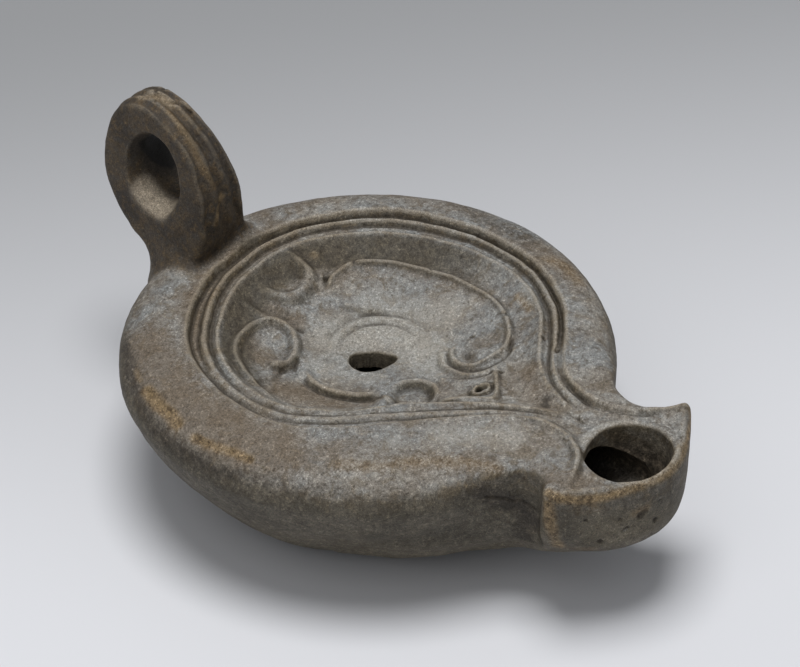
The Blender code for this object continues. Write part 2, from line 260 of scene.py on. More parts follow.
def soft_waves(seed, reach):
    """Slow, small waves over the plan, so that no line is quite true."""
    a = lattice(seed, 32)[:, :, 0]
    u, v = (PX - X0) / reach, (PY - Y0) / reach
    i, j = np.floor(u).astype(int), np.floor(v).astype(int)
    fu, fv = smooth(u - i), smooth(v - j)
    n = a.shape[0]
    g = lambda k, m: a[(i + k) % n, (j + m) % n]
    return (g(0, 0) * (1 - fu) + g(1, 0) * fu) * (1 - fv) + (g(0, 1) * (1 - fu) + g(1, 1) * fu) * fv


RX = (PX + 0.15 * soft_waves(3, 4.5) + 0.08 * soft_waves(4, 1.9)).astype(np.float32)
RY = (QY + 0.15 * soft_waves(5, 4.5) + 0.08 * soft_waves(6, 1.9)).astype(np.float32)
crest_d, crest_t = line_distance(CREST, RX, RY)
ridge_d, ridge_t = line_distance(RIDGE, RX, RY)
step_line = np.vstack([STEP, ((19.0, -64.0), (-19.0, -64.0))])
step_d, step_t = line_distance(STEP, RX, RY)
step_d = np.where(within(step_line, RX, RY), step_d, -step_d)   # above zero inside
inside_crest = within(CREST, RX, RY)


def ends(t, a, b):
    """1 along a line, running out to 0 towards its two ends."""
    return smooth(t / a) * smooth((1.0 - t) / b)


def hump(d, half):
    u = np.clip(d / half, 0.0, 1.0)
    return (1.0 - u * u) ** 2


top = np.full(PX.shape, TOP_Z, np.float32)
# inside the step: the sunk bed of the rings and of the nozzle
near_side = smooth((-PX * 0.79 - QY * 0.62 + 2.0) / 18.0)     # the rings are worn low there
bed = 27.25 + 0.42 * smooth((-QY - 35.0) / 8.0) + 0.30 * near_side
drop = smooth((step_d + 0.15) / 0.95)
top += (bed - TOP_Z) * drop
top += 0.22 * hump(np.abs(step_d + 0.60), 1.0)
top -= 0.26 * hump(np.abs(step_d - 0.70), 0.6) * (1.0 - 0.4 * near_side) * (1.0 - 0.75 * smooth((-QY - 34.0) / 6.0) * smooth((6.0 - PX) / 6.0))
# the shoulder falls a little towards its edge on the near side, and the horns rise
top += np.where(step_d < 0, -0.25 * smooth((-step_d - 4.0) / 6.0), 0.0)
# inside the crest: slope, bowl and channel
depth_in = np.where(inside_crest, crest_d, 0.0)
channel = smooth((-QY - 19.0) / 15.0)
u = np.clip(depth_in / 4.9, 0.0, 1.0)
fall = (2.6 - 1.05 * channel) * (1.0 - (1.0 - u) ** 1.75)
r = np.hypot(PX, QY)
bowl = (DISCUS_SOLE - DISCUS_LOW) * np.clip(1.0 - (r / 21.5) ** 2, 0.0, 1.0) * smooth((QY + 24.0) / 8.0)
bowl = bowl * smooth(depth_in / 6.0)
top = np.where(inside_crest, 28.05 - fall - bowl, top)
outside_near = np.where(inside_crest, 0.0, hump(crest_d, 0.95))
top += np.where(inside_crest, 0.0, 0.74 * outside_near * (1.0 - 0.48 * near_side) * ends(crest_t, 0.03, 0.03))
inner_end = np.where(inside_crest, (1.0 - ends(crest_t, 0.03, 0.03)) * hump(crest_d, 3.0), 0.0)
top -= 0.55 * inner_end
top += np.where(inside_crest, 0.0, 0.86 * hump(ridge_d, 0.9) * (1.0 - 0.58 * near_side) * ends(ridge_t, 0.05, 0.04))
# narrow grooves on both sides of the ridge
top -= np.where(inside_crest, 0.0, 0.22 * hump(np.abs(ridge_d - 1.0), 0.45) * ends(ridge_t, 0.05, 0.04))

RELIEF = 1.20


def band(points, half, height, closed=False, taper=(0.08, 0.08), flat=0.0, waver=0.0):
    """A raised band, or a groove when height is below zero."""
    line = curve(points, closed=closed)
    w = window(line, half + 0.5)
    d, t = line_distance(line, RX[w], RY[w], closed=closed)
    rise = hump(np.maximum(d - flat, 0.0), half - flat)
    if not closed:
        rise = rise * ends(t, max(taper[0], 1e-3), max(taper[1], 1e-3))
    top[w] += RELIEF * height * rise


def plate(points, height, edge, fade=None):
    """A raised or sunk area with a soft edge; fade makes it run out inwards."""
    line = curve(points, closed=True)
    w = window(line, edge + 0.5)
    s = signed(line, RX[w], RY[w])
    rise = smooth(0.5 - s / edge)
    if fade:
        rise = rise * (1.0 - smooth((-s - fade[0]) / fade[1]))
    top[w] += RELIEF * height * rise


def dimple(x, y, radius, height, ring=0.0, ring_height=0.0):
    w = window(np.array([(x, y)], float), radius + ring + 1.0)
    d = np.hypot(PX[w] - x, QY[w] - y)
    top[w] += height * hump(d, radius)
    if ring:
        top[w] += ring_height * hump(np.abs(d - radius), ring)


# the central plate and the lower field on its left
plate(((-9.2, 9.4), (-11.6, 7.6), (-12.5, 5.4), (-12.7, 3.0), (-12.2, 0.4), (-11.2, -1.6), (-9.8, -3.4), (-8.2, -4.7), (-7.4, -5.4),
       (-8.8, -8.2), (-8.8, -10.6), (-8.6, -13.0), (-10.5, -13.2), (-15.5, -10.6), (-19.2, -6.4), (-21.2, -1.0), (-21.2, 4.0),
       (-20.2, 9.2), (-16.6, 9.0), (-12.4, 9.6)), -0.42, 0.75, fade=(0.8, 5.0))
band(((-9.2, 7.9), (-10.9, 6.2), (-11.7, 4.2), (-11.8, 2.4), (-11.3, 0.4), (-10.3, -1.6), (-8.9, -3.4), (-7.0, -4.9)), 0.9, 0.34, taper=(0.2, 0.15))
band(((-11.6, 6.6), (-12.4, 5.4), (-12.8, 4.2), (-12.9, 2.0), (-12.3, -0.4), (-11.1, -2.6), (-9.5, -4.5), (-8.0, -5.6)), 0.65, -0.36, taper=(0.15, 0.1))
# rings about the filling hole, clearest on their far side
for radius, height, half in ((5.6, 0.16, 0.95), (6.6, -0.22, 0.75), (7.6, 0.20, 0.95), (8.8, -0.24, 0.8), (9.9, 0.08, 0.9)):
    band([(1.9 + radius * math.cos(a), 1.4 + radius * math.sin(a)) for a in np.radians(np.arange(-60, 170, 20))], half, height,
         taper=(0.35, 0.35))
    band([(1.9 + radius * math.cos(a), 1.4 + radius * math.sin(a)) for a in np.radians(np.arange(120, 320, 20))], half, height * 0.3,
         taper=(0.3, 0.3))
dimple(-0.4, 1.4, 6.6, -0.55)
# left hook and its ball
band(((-21.4, 0.6), (-21.5, 3.0), (-21.2, 6.0), (-20.4, 10.0), (-18.0, 14.8), (-15.6, 17.0), (-13.0, 18.4), (-10.0, 19.0), (-7.4, 18.8),
      (-5.5, 17.9), (-4.6, 16.1), (-5.0, 14.2), (-6.5, 12.4), (-8.7, 10.7), (-10.9, 9.7), (-12.6, 9.9), (-13.6, 10.8), (-13.7, 11.8)), 1.15,
     0.74, taper=(0.3, 0.02))
dimple(-10.4, 14.2, 4.6, -0.50)
dimple(-15.4, 10.8, 4.4, -0.25)
dimple(-12.9, 10.7, 1.7, 0.40)
band(((-3.4, 19.4), (-2.8, 16.4), (-3.4, 13.2), (-5.0, 10.8), (-7.2, 9.2)), 0.8, -0.22, taper=(0.2, 0.4))
# foot of the slope on the near side, a thin line
band(((-21.6, 6.0), (-21.2, 1.0), (-20.2, -2.6), (-18.2, -6.4), (-15.4, -9.0), (-12.6, -11.2), (-9.6, -13.6), (-6.6, -14.8)), 0.5, -0.36,
     taper=(0.2, 0.1))
band(((-20.4, 3.0), (-19.6, -1.6), (-17.4, -5.4), (-14.4, -8.2), (-11.6, -10.2), (-8.8, -12.4)), 0.8, 0.16)
# hollow boss at the far side of the discus: its rim is clear on the right and runs out on the left
band([(2.9 + 4.3 * math.cos(a), 22.8 + 4.1 * math.sin(a)) for a in np.radians((150, 170, 190, 210, 230, 250, 270, 290, 310, 330, 350, 10, 30, 50))],
     1.8, 1.00, taper=(0.15, 0.2))
dimple(2.9, 23.2, 3.0, -0.35)
band(((-4.2, 25.0), (-4.6, 22.6), (-4.2, 20.2), (-2.9, 18.3), (-1.4, 16.8), (0.4, 15.6)), 1.5, -0.60, taper=(0.2, 0.3))
band(((-3.6, 14.6), (-2.3, 12.8), (-3.2, 11.6)), 1.1, -0.30)
band(((7.0, 24.8), (7.4, 22.8), (7.1, 20.6), (6.7, 18.6), (6.6, 16.8)), 1.2, 0.26, taper=(0.3, 0.3))
band(((5.4, 12.0), (7.0, 16.6), (9.6, 18.8), (12.8, 19.0)), 0.9, -0.30)
dimple(10.4, 22.0, 1.8, 0.70)
# right lobe: a shallow field with a thin raised rim that curls in at its near end
LOBE = ((5.4, 11.8), (5.6, 14.4), (6.6, 16.3), (8.7, 17.3), (12.0, 17.0), (14.6, 15.5), (17.5, 12.0), (19.5, 7.2), (20.7, 2.0), (20.9, -2.0),
        (20.4, -6.0), (19.0, -9.8), (17.0, -12.6), (14.0, -15.0), (11.5, -15.8), (9.2, -15.2), (7.5, -13.7))
plate(LOBE + ((9.5, -10.5), (12.0, -6.0), (13.5, 0.0), (12.6, 5.0), (9.5, 8.8)), 0.30, 1.6)
band(LOBE[1:-1] + ((7.3, -14.3), (6.2, -12.6), (6.1, -10.8), (7.0, -8.9), (8.5, -8.0), (9.6, -8.7)), 0.78, 0.50, taper=(0.06, 0.02))
band(((8.0, 15.6), (12.0, 15.5), (15.8, 12.4), (18.2, 7.4), (19.4, 2.0), (19.6, -3.0), (18.8, -7.4)), 1.2, -0.14, taper=(0.1, 0.2))
band(((9.0, 18.7), (13.2, 18.0), (17.6, 14.2), (20.6, 9.0), (22.2, 2.6), (22.3, -3.4), (20.8, -8.8)), 1.0, -0.16, taper=(0.1, 0.3))
dimple(8.6, -11.2, 1.7, -0.60)
band(((15.0, -15.2), (11.6, -17.0), (9.0, -16.9), (6.6, -15.4), (5.2, -13.2), (5.0, -10.8), (5.8, -8.8)), 0.55, -0.34, taper=(0.2, 0.15))
band(((8.2, -6.9), (6.4, -7.4), (4.8, -9.0), (3.9, -11.2), (4.0, -14.0), (5.3, -16.2), (7.8, -17.6), (10.6, -18.2)), 0.95, 0.52, taper=(0.12, 0.25))
band(((6.8, 16.4), (6.1, 14.4), (6.2, 12.2), (7.4, 10.3), (9.4, 8.5), (11.0, 6.4), (12.0, 3.8)), 1.0, 0.20, taper=(0.25, 0.4))
band(((5.2, 14.6), (5.2, 12.0), (6.4, 9.6), (8.6, 7.5), (10.2, 5.2)), 0.8, -0.16, taper=(0.3, 0.4))
# low lobe and sunk field near the front, with the lines beside them
plate([(-4.3 + 3.0 * math.cos(a), -9.9 + 3.2 * math.sin(a)) for a in np.radians(np.arange(0, 360, 40))], -0.80, 1.6)
band([(-4.3 + 3.9 * math.cos(a), -9.9 + 4.1 * math.sin(a)) for a in np.radians(np.arange(-90, 130, 20))], 1.1, 0.50, taper=(0.25, 0.25))
dimple(-8.3, -7.4, 2.1, 0.95)
band(((-6.9, -8.6), (-7.4, -10.6), (-7.0, -12.6), (-7.6, -14.4)), 0.6, -0.35)
band(((-17.6, -4.6), (-15.4, -6.4), (-13.2, -8.5)), 0.5, -0.2)
band(((-11.6, -9.4), (-9.4, -12.0), (-7.0, -13.4)), 0.5, -0.2)
# leaf tip with the air hole
LEAF = ((-4.8, -15.8), (-3.8, -18.8), (-2.5, -21.3), (-0.8, -23.0), (1.6, -22.3), (4.0, -20.5), (6.2, -18.6), (7.8, -17.3))
plate(LEAF[:-1] + ((4.6, -17.0), (2.6, -14.0), (1.6, -11.0), (-1.0, -13.4)), 0.42, 0.9, fade=(1.2, 3.0))
band(LEAF, 0.8, 0.46)
band(((-5.6, -15.8), (-4.7, -19.4), (-3.4, -22.2), (-1.0, -24.4)), 0.6, -0.40)
band(((-1.0, -24.4), (2.6, -23.6), (5.2, -21.2)), 0.8, -0.14)
AIR_AT = (1.3, -19.2)
for radius, height, half in ((1.95, -0.30, 0.45), (1.3, 0.38, 0.55)):
    band([(AIR_AT[0] + radius * math.cos(a), AIR_AT[1] + radius * math.sin(a)) for a in np.linspace(0, 2 * math.pi, 13)[:-1]], half, height,
         closed=True)
dimple(AIR_AT[0], AIR_AT[1], 1.15, -0.95)
dimple(AIR_AT[0] - 0.05, AIR_AT[1] - 0.30, 0.7, 0.70)
# small ring bubbles left by air in the mould, and open pits
for x, y, size in ((-27.0, 23.0, 0.85), (-2.8, -39.1, 0.5), (24.8, -22.0, 0.5)):
    dimple(x, y, size, -0.18, ring=0.35, ring_height=0.14)
PITS = ((12.2, -9.2, 0.55, 0.5), (18.2, -11.4, 0.6, 0.6), (8.3, 18.1, 0.6, 0.6), (13.5, 16.3, 0.6, 0.5), (-16.0, -11.1, 0.5, 0.4),
        (-6.0, -10.0, 0.45, 0.5), (-6.5, -14.1, 0.5, 0.5), (6.8, -19.0, 0.5, 0.45), (15.5, -20.8, 0.5, 0.5), (7.7, -26.1, 0.5, 0.5),
        (14.1, -24.4, 0.6, 0.45), (22.6, -18.6, 0.45, 0.35), (-7.6, -3.6, 0.4, 0.35), (2.2, -29.4, 0.5, 0.25), (17.6, -22.3, 0.45, 0.35),
        (20.3, 5.6, 0.4, 0.3), (-16.0, 7.6, 0.3, 0.2), (5.8, -29.8, 0.4, 0.3))
for x, y, size, deep in PITS:
    dimple(x, y, size, -deep)
# the shoulder runs out in a soft scroll beside the wick hole
band(((-2.9, -29.0), (-2.3, -34.4), (-2.6, -37.9), (-3.9, -41.0), (-6.3, -43.4), (-9.2, -44.8), (-12.4, -45.3)), 1.0, 0.50, taper=(0.25, 0.1))
# the lip along the front of the nozzle
front = np.clip(-outline, 0.0, 9.0)
nozzle_zone = smooth((-QY - 43.5) / 3.0)
top += 0.42 * hump(np.abs(front - 1.2), 1.3) * nozzle_zone
top += 0.18 * smooth((np.abs(PX) - 9.0) / 5.0) * smooth((-QY - 41.0) / 4.0)

# width and height of the rounded edge between top and side
toward_nozzle = smooth((-PY - 24.0) / 15.0) * smooth((25.0 - np.abs(PX)) / 9.0)
edge_w = 8.0 * (1 - toward_nozzle) + 1.7 * toward_nozzle
edge_h = 6.1 * (1 - toward_nozzle) + 1.9 * toward_nozzle

# ------------------------------------------------------------------ holes seen from above
WICK = curve(((-4.6, -43.5), (-3.2, -42.6), (-0.8, -41.8), (2.1, -41.6), (4.3, -42.4), (6.1, -43.9), (7.5, -46.0), (8.0, -48.5),
              (7.4, -50.8), (5.9, -52.7), (4.0, -53.8), (1.4, -54.4), (-1.5, -54.0), (-3.8, -52.9), (-5.4, -51.0), (-6.2, -48.3),
              (-5.8, -45.7)), closed=True)
FILL = curve(((-2.8, 4.2), (-1.6, 4.7), (-0.5, 4.3), (0.7, 3.4), (1.7, 2.2), (2.3, 0.7), (2.7, -0.6), (2.5, -1.4), (1.6, -1.6), (0.4, -1.3),
              (-1.1, -0.9), (-2.6, -0.2), (-3.6, 0.8), (-3.8, 2.3), (-3.5, 3.4)), closed=True)
wick_plan = np.full(PX.shape, 6.0, np.float32)
w = window(WICK, 6.0)
wick_plan[w] = np.minimum(signed(WICK, PX[w], QY[w]), 6.0)
fill_plan = np.full(PX.shape, 6.0, np.float32)
w = window(FILL, 6.0)
fill_plan[w] = np.minimum(signed(FILL, PX[w], QY[w]), 6.0)

top += 0.16 * hump(np.abs(wick_plan - 0.7), 0.9)
PLAN = np.stack([top, -outline, edge_w, edge_h, wick_plan, fill_plan, nozzle_plan, nozzle_low], -1).astype(np.float32)

# ------------------------------------------------------------------ profile tables
R_STEP = 0.2
pr, pz = np.meshgrid(np.arange(0.0, 48.0, R_STEP), np.arange(-6.0, 40.0, R_STEP), indexing="ij")
side_line = np.vstack([((-10.0, 0.0),), curve(SIDE, step=0.8), ((BODY_R, 70.0), (-10.0, 70.0))])
SIDE_TABLE = signed(side_line, pr, pz).astype(np.float32)
CAVITY = ((18.5, 4.6), (24.6, 7.2), (29.2, 11.9), (33.2, 17.8), (35.6, 22.4), (34.4, 23.8), (29.0, 24.0), (23.4, 21.4), (15.0, 18.9))
cavity_line = np.vstack([((-10.0, 4.4),), curve(CAVITY, step=0.8), ((-10.0, 17.9),)])
CAVITY_TABLE = signed(cavity_line, pr, pz).astype(np.float32)
share_line = curve(NOZZLE_SIDE, step=0.05)
share_slope = np.gradient(share_line[:, 0], share_line[:, 1] + np.arange(len(share_line)) * 1e-6)

# ------------------------------------------------------------------ handle, seen from the side (y, z)
HANDLE_OUT = curve((
    (36.5, 15.0), (34.4, 22.0), (32.4, 26.0), (30.9, 29.6), (30.1, 33.0), (30.1, 37.0), (31.0, 42.2), (33.2, 46.8), (36.8, 50.4),
    (41.0, 52.7), (45.0, 53.3), (48.7, 51.6), (51.1, 48.2), (52.3, 42.8), (52.1, 37.2), (50.3, 32.6), (47.0, 28.8), (41.7, 24.8),
    (39.6, 19.0), (38.6, 15.0)), closed=True, step=0.6)
H_STEP = 0.2
hy, hz = np.meshgrid(np.arange(24.0, 60.0, H_STEP), np.arange(6.0, 62.0, H_STEP), indexing="ij")
hole_lean = math.radians(-8.0)
hole_line = curve([
    (41.4 + 4.5 * math.cos(a) * math.cos(hole_lean) - 6.3 * math.sin(a) * math.sin(hole_lean),
     41.2 + 4.5 * math.cos(a) * math.sin(hole_lean) + 6.3 * math.sin(a) * math.cos(hole_lean))
    for a in np.linspace(0, 2 * math.pi, 21)[:-1]], closed=True, step=0.6)
HANDLE_TABLE = np.stack([signed(HANDLE_OUT, hy, hz), signed(hole_line, hy, hz)], -1).astype(np.float32)


def handle_field(x, y, z):
    out, hole = look(HANDLE_TABLE, y, z, 24.0, 6.0, H_STEP).T
    foot = 5.4 * np.exp(-np.maximum(z - 23.0, 0.0) / 4.8) * (1.0 - 0.75 * smooth((y - 36.0) / 8.0))
    foot = foot * np.where(x > 0, 1.18, 1.0)
    half = 3.4 + 1.5 * smooth((53.0 - z) / 16.0) + foot
    u = x / half
    wear = smooth((z - 29.0) / 6.0) * (1.0 - 0.75 * smooth((y - 44.0) / 7.0))
    groove = 0.5 + 0.5 * np.cos(2 * math.pi * 1.55 * (u + 0.04 + 0.03 * np.sin(z * 0.9)))
    out = out + 0.60 * groove ** 1.5 * wear
    f = smax(np.abs(x) - half, out, 1.7)
    flare = np.where(x < 0, 1.05, -0.20) * smooth((np.abs(u) - 0.25) / 0.75)
    return smax(f, -(hole - flare), 0.7)


def form(p, rough=2):
    """The field: below zero in the clay, in millimetres near the surface."""
    x, y, z = p[:, 0], p[:, 1], p[:, 2]
    t, deep, ew, eh, wick, fill, _, _ = look(PLAN, x, y, X0, Y0, GRID).T
    # rounded corner between the top and the side
    a, b = (ew - deep) / ew, (z - (t - eh)) / eh
    a, b = np.maximum(a, 0.0), np.maximum(b, 0.0)
    q = (a ** 2.15 + b ** 2.15) ** (1 / 2.15)
    q_ = np.maximum(q, 1e-4)
    f = (q - 1.0) * np.sqrt((a * ew) ** 2 + (b * eh) ** 2) / q_
    f = np.where(q < 0.05, -np.minimum(ew, eh), f)
    # underside: body of revolution and nozzle
    radius = np.hypot(x, y)
    wide = radius - fuller(x, y) * smooth((z - 7.0) / 11.0) + 1.3 * pressed(x, y) * smooth((17.0 - z) / 7.0)
    under = look(SIDE_TABLE, wide, z, 0.0, -6.0, R_STEP)
    lift = 2.4 * np.minimum((x / 16.0) ** 2, 1.0) * smooth((-y - 40.0) / 10.0)
    zz = z - lift
    share = np.interp(zz, share_line[:, 1], share_line[:, 0]).astype(np.float32)
    slope = np.interp(zz, share_line[:, 1], share_slope).astype(np.float32)
    k = (4.6 + 35.5 * share) / 40.1
    near_nozzle = y < -14.0
    spout = np.full(x.shape, 20.0, np.float32)
    n = np.nonzero(near_nozzle)[0]
    if len(n):
        kn = k[n]
        sx, sy = x[n] / (0.60 + 0.40 * share[n]), (y[n] - NOZZLE_ROOT_Y) / kn + NOZZLE_ROOT_Y
        horned, plain = look(PLAN[..., 6:8], sx, sy, X0, Y0, GRID).T
        s = plain + (horned - plain) * smooth((z[n] - 11.0) / 10.0)
        spout[n] = s * kn / np.sqrt(1.0 + (28.0 * slope[n]) ** 2)
    under = smin(under, spout, 2.2 + 3.4 * smooth((19.0 - z) / 8.0) * smooth((z - 1.0) / 6.0))
    f = smax(f, under, 0.4)
    # handle
    n = np.nonzero((y > 27.0) & (np.abs(x) < 16.0) & (z > 12.0))[0]
    if len(n):
        h = handle_field(x[n], y[n], z[n])
        blend = 1.6 + 2.2 * smooth((x[n] + 2.0) / 6.0)
        f[n] = smin(f[n], h, blend)
    if rough:
        f = f + 0.20 * noise(p, 15.0) + 0.085 * noise(p, 6.0, 3.3)
        if rough == 2:
            f = f + 0.05 * noise(p, 2.4, 9.1) + 0.028 * noise(p, 1.1, 5.7)
        for place in SCARS:
            f = scar(f, p, *place)
    # hollow
    hollow = look(CAVITY_TABLE, radius, z, 0.0, -6.0, R_STEP)
    s = np.interp(y, (-53.6, -52.0, -49.0, -44.0, -34.0, -24.0), (0.45, 0.75, 0.92, 0.92, 1.0, 1.15))
    centre = 21.1 - 4.1 * smooth((y + 42.5) / 9.0) + 0.34 * (0.6 - x) * smooth((-y - 36.0) / 6.0)
    tube = np.sqrt(((x - 0.6) / (8.2 * s)) ** 2 + ((z - centre) / (4.9 * s)) ** 2)
    tube = np.maximum(np.maximum((tube - 1.0) * 4.0, -53.6 - y), y + 24.0)
    hollow = smin(hollow, tube.astype(np.float32), 1.0)
    hollow = np.minimum(hollow, np.maximum(wick + 0.10 * np.maximum(27.3 - z, 0.0) + 0.35 * np.maximum(17.0 - z, 0.0), 14.8 - z))
    hollow = np.minimum(hollow, np.maximum(fill - 0.12 * np.maximum(z - 21.5, 0.0), 12.0 - z))
    air = np.hypot(x - AIR_AT[0] - 0.25, y - AIR_AT[1] - RING_Y - 0.45)
    hollow = np.minimum(hollow, np.maximum(air - 0.5, 16.0 - z))
    f = smax(f, -hollow, 0.5)
    # flat base with a slightly sunk middle
    base = -z + 0.4 * smooth((18.8 - radius) / 1.6)
    return np.maximum(f, base).astype(np.float32)


# cracks, chips and pits: (points in mm, half width, depth)
SCARS = (
    (((-16.7, -36.3, 23.3), (-15.1, -37.5, 22.7), (-14.2, -38.4, 22.4), (-13.3, -39.1, 21.6), (-12.6, -39.9, 21.9), (-12.3, -40.6, 21.4),
      (-12.0, -41.9, 20.8)), 0.42, 0.55),
    (((-18.6, -34.4, 24.2), (-17.2, -35.4, 23.7)), 0.35, 0.30),
    (((-1.6, 46.1, 53.0), (-0.3, 46.4, 53.0), (0.2, 44.9, 53.1), (0.9, 43.2, 53.2), (0.6, 41.8, 52.9), (1.7, 40.8, 52.2), (2.2, 38.9, 51.0)), 0.45, 0.70),
    (((0.2, 44.9, 53.1), (2.2, 45.4, 53.0), (3.6, 44.2, 52.4)), 0.40, 0.50),
    (((-1.0, 43.4, 53.1), (0.9, 43.2, 53.2)), 0.35, 0.40),
    (((-34.9, 14.3, 27.0), (-35.6, 11.8, 27.1)), 1.1, 0.45), (((-33.4, 17.8, 26.8), (-33.9, 16.6, 26.9)), 0.8, 0.35),
    (((-36.4, 8.6, 26.9),), 0.8, 0.35), (((-37.3, 4.5, 26.8), (-37.2, 2.6, 26.9)), 0.9, 0.35), (((-36.6, -2.0, 27.2),), 0.9, 0.4),
    (((-36.2, -4.6, 27.2), (-36.1, -5.6, 27.0)), 0.7, 0.35), (((-31.2, 21.8, 26.9),), 0.7, 0.3),
    (((-4.2, -56.5, 22.1), (-3.7, -56.8, 22.6)), 0.9, 0.7), (((-7.1, -54.7, 22.2),), 0.6, 0.35), (((-11.2, -51.1, 23.0),), 0.6, 0.3),
    (((-9.2, -52.6, 18.2),), 0.8, 0.4), (((-0.9, -57.6, 23.6),), 0.5, 0.35), (((-1.5, -57.3, 19.9),), 0.7, 0.4), (((2.4, -57.4, 21.5),), 0.5, 0.3),
    (((-5.6, -55.4, 20.4), (-6.4, -54.9, 20.0)), 0.5, 0.3),
    (((-24.6, -24.8, 27.5), (-25.3, -26.6, 26.8)), 0.35, 0.2), (((-36.0, -8.0, 26.6), (-34.6, -8.2, 25.2)), 0.4, 0.2),
    (((-6.2, 31.6, 36.2), (-5.9, 33.0, 33.4)), 0.5, 0.25), (((-4.9, 45.9, 46.5), (-5.0, 48.4, 42.0)), 0.3, 0.15),
)


def scar(f, p, points, half, depth):
    pts = np.array(points, np.float32)
    low, high = pts.min(0) - half * 2, pts.max(0) + half * 2
    n = np.nonzero(np.all((p > low) & (p < high), axis=1))[0]
    if not len(n):
        return f
    q = p[n]
    best = np.full(len(n), 1e9, np.float32)
    if len(pts) == 1:
        best = ((q - pts[0]) ** 2).sum(1)
    for a, b in zip(pts[:-1], pts[1:]):
        v = b - a
        t = np.clip(((q - a) @ v) / (v @ v), 0.0, 1.0)
        best = np.minimum(best, ((q - a - t[:, None] * v) ** 2).sum(1))
    f[n] = f[n] + depth * hump(np.sqrt(best), half)
    return f


# ------------------------------------------------------------------ mesh from the field
def grid_field():
    low = np.array((-42.5, -61.5, -1.0))
    high = np.array((42.5, 55.5, 56.5))
    block = 4
    count = (np.ceil((high - low) / (CELL * block))).astype(int)
    fine = count * block + 1
    centres = np.stack(np.meshgrid(*[low[k] + (np.arange(count[k]) + 0.5) * CELL * block for k in range(3)], indexing="ij"), -1)
    rough = form(centres.reshape(-1, 3).astype(np.float32), rough=0).reshape(count)
    values = np.repeat(np.repeat(np.repeat(np.where(rough < 0, -1.0, 1.0), block, 0), block, 1), block, 2).astype(np.float32)
    full = np.ones(tuple(fine), np.float32)
    full[:-1, :-1, :-1] = values
    near = np.abs(rough) < CELL * block * 1.25 + 0.5
    wanted = np.zeros(tuple(fine), bool)
    marks = np.repeat(np.repeat(np.repeat(near, block, 0), block, 1), block, 2)
    for i in (0, 1):
        for j in (0, 1):
            for k in (0, 1):
                wanted[i:fine[0] - 1 + i, j:fine[1] - 1 + j, k:fine[2] - 1 + k] |= marks
    index = np.argwhere(wanted)
    for start in range(0, len(index), 400000):
        part = index[start : start + 400000]
        full[part[:, 0], part[:, 1], part[:, 2]] = form((low + part * CELL).astype(np.float32), rough=1)
    # a light blur keeps features finer than a cell from tangling the mesh; settle() brings them back
    for axis in range(3):
        side = np.roll(full, 1, axis) + np.roll(full, -1, axis)
        full = 0.6 * full + 0.2 * side
    return low, full


def surface(low, full):
    """One vertex in each cell that the surface passes, and one quad across each edge that it cuts."""
    inside = full < 0
    n = np.array(full.shape) - 1
    count = np.zeros(tuple(n), np.int8)
    for i in (0, 1):
        for j in (0, 1):
            for k in (0, 1):
                count += inside[i:n[0] + i, j:n[1] + j, k:n[2] + k]
    cells = np.argwhere((count > 0) & (count < 8))
    ids = np.full(tuple(n), -1, np.int32)
    ids[cells[:, 0], cells[:, 1], cells[:, 2]] = np.arange(len(cells))
    total = np.zeros((len(cells), 3))
    hits = np.zeros(len(cells))
    for axis in range(3):
        others = [a for a in range(3) if a != axis]
        for u in (0, 1):
            for v in (0, 1):
                a = np.zeros(3, int)
                a[others[0]], a[others[1]] = u, v
                b = a.copy()
                b[axis] = 1
                fa = full[cells[:, 0] + a[0], cells[:, 1] + a[1], cells[:, 2] + a[2]]
                fb = full[cells[:, 0] + b[0], cells[:, 1] + b[1], cells[:, 2] + b[2]]
                cut = (fa < 0) != (fb < 0)
                t = np.where(cut, fa / np.where(cut, fa - fb, 1.0), 0.0)
                point = a[None, :] + t[:, None] * (b - a)[None, :]
                total += point * cut[:, None]
                hits += cut
    verts = low + (cells + total / hits[:, None]) * CELL
    quads = []
    for axis in range(3):
        o1, o2 = [(1, 2), (2, 0), (0, 1)][axis]
        lead = [slice(None)] * 3
        tail = [slice(None)] * 3
        lead[axis], tail[axis] = slice(0, -1), slice(1, None)
        change = inside[tuple(lead)] != inside[tuple(tail)]
        at = np.argwhere(change)
        at = at[(at[:, o1] > 0) & (at[:, o2] > 0) & (at[:, o1] < n[o1]) & (at[:, o2] < n[o2])]
        down1, down2 = np.zeros(3, int), np.zeros(3, int)
        down1[o1], down2[o2] = 1, 1
        corner = lambda c: ids[c[:, 0], c[:, 1], c[:, 2]]
        q = np.stack([corner(at - down1 - down2), corner(at - down2), corner(at), corner(at - down1)], 1)
        flip = ~inside[at[:, 0], at[:, 1], at[:, 2]]
        q[flip] = q[flip][:, ::-1]
        quads.append(q)
    quads = np.vstack(quads)
    return verts, quads[(quads >= 0).all(1)]


def slope_of(p, h=0.08):
    out = np.zeros_like(p)
    for k in range(3):
        step = np.zeros(3, np.float32)
        step[k] = h
        out[:, k] = (form(p + step) - form(p - step)) / (2 * h)
    return out


def settle(p, rounds=2, reach=0.3):
    """Move points onto the surface along the slope of the field."""
    p = p.astype(np.float32)
    for _ in range(rounds):
        g = slope_of(p)
        size = np.maximum((g * g).sum(1), 0.15)
        move = -(form(p) / size)[:, None] * g
        length = np.linalg.norm(move, axis=1)
        p = p + move * np.minimum(1.0, reach / np.maximum(length, 1e-6))[:, None]
    return p


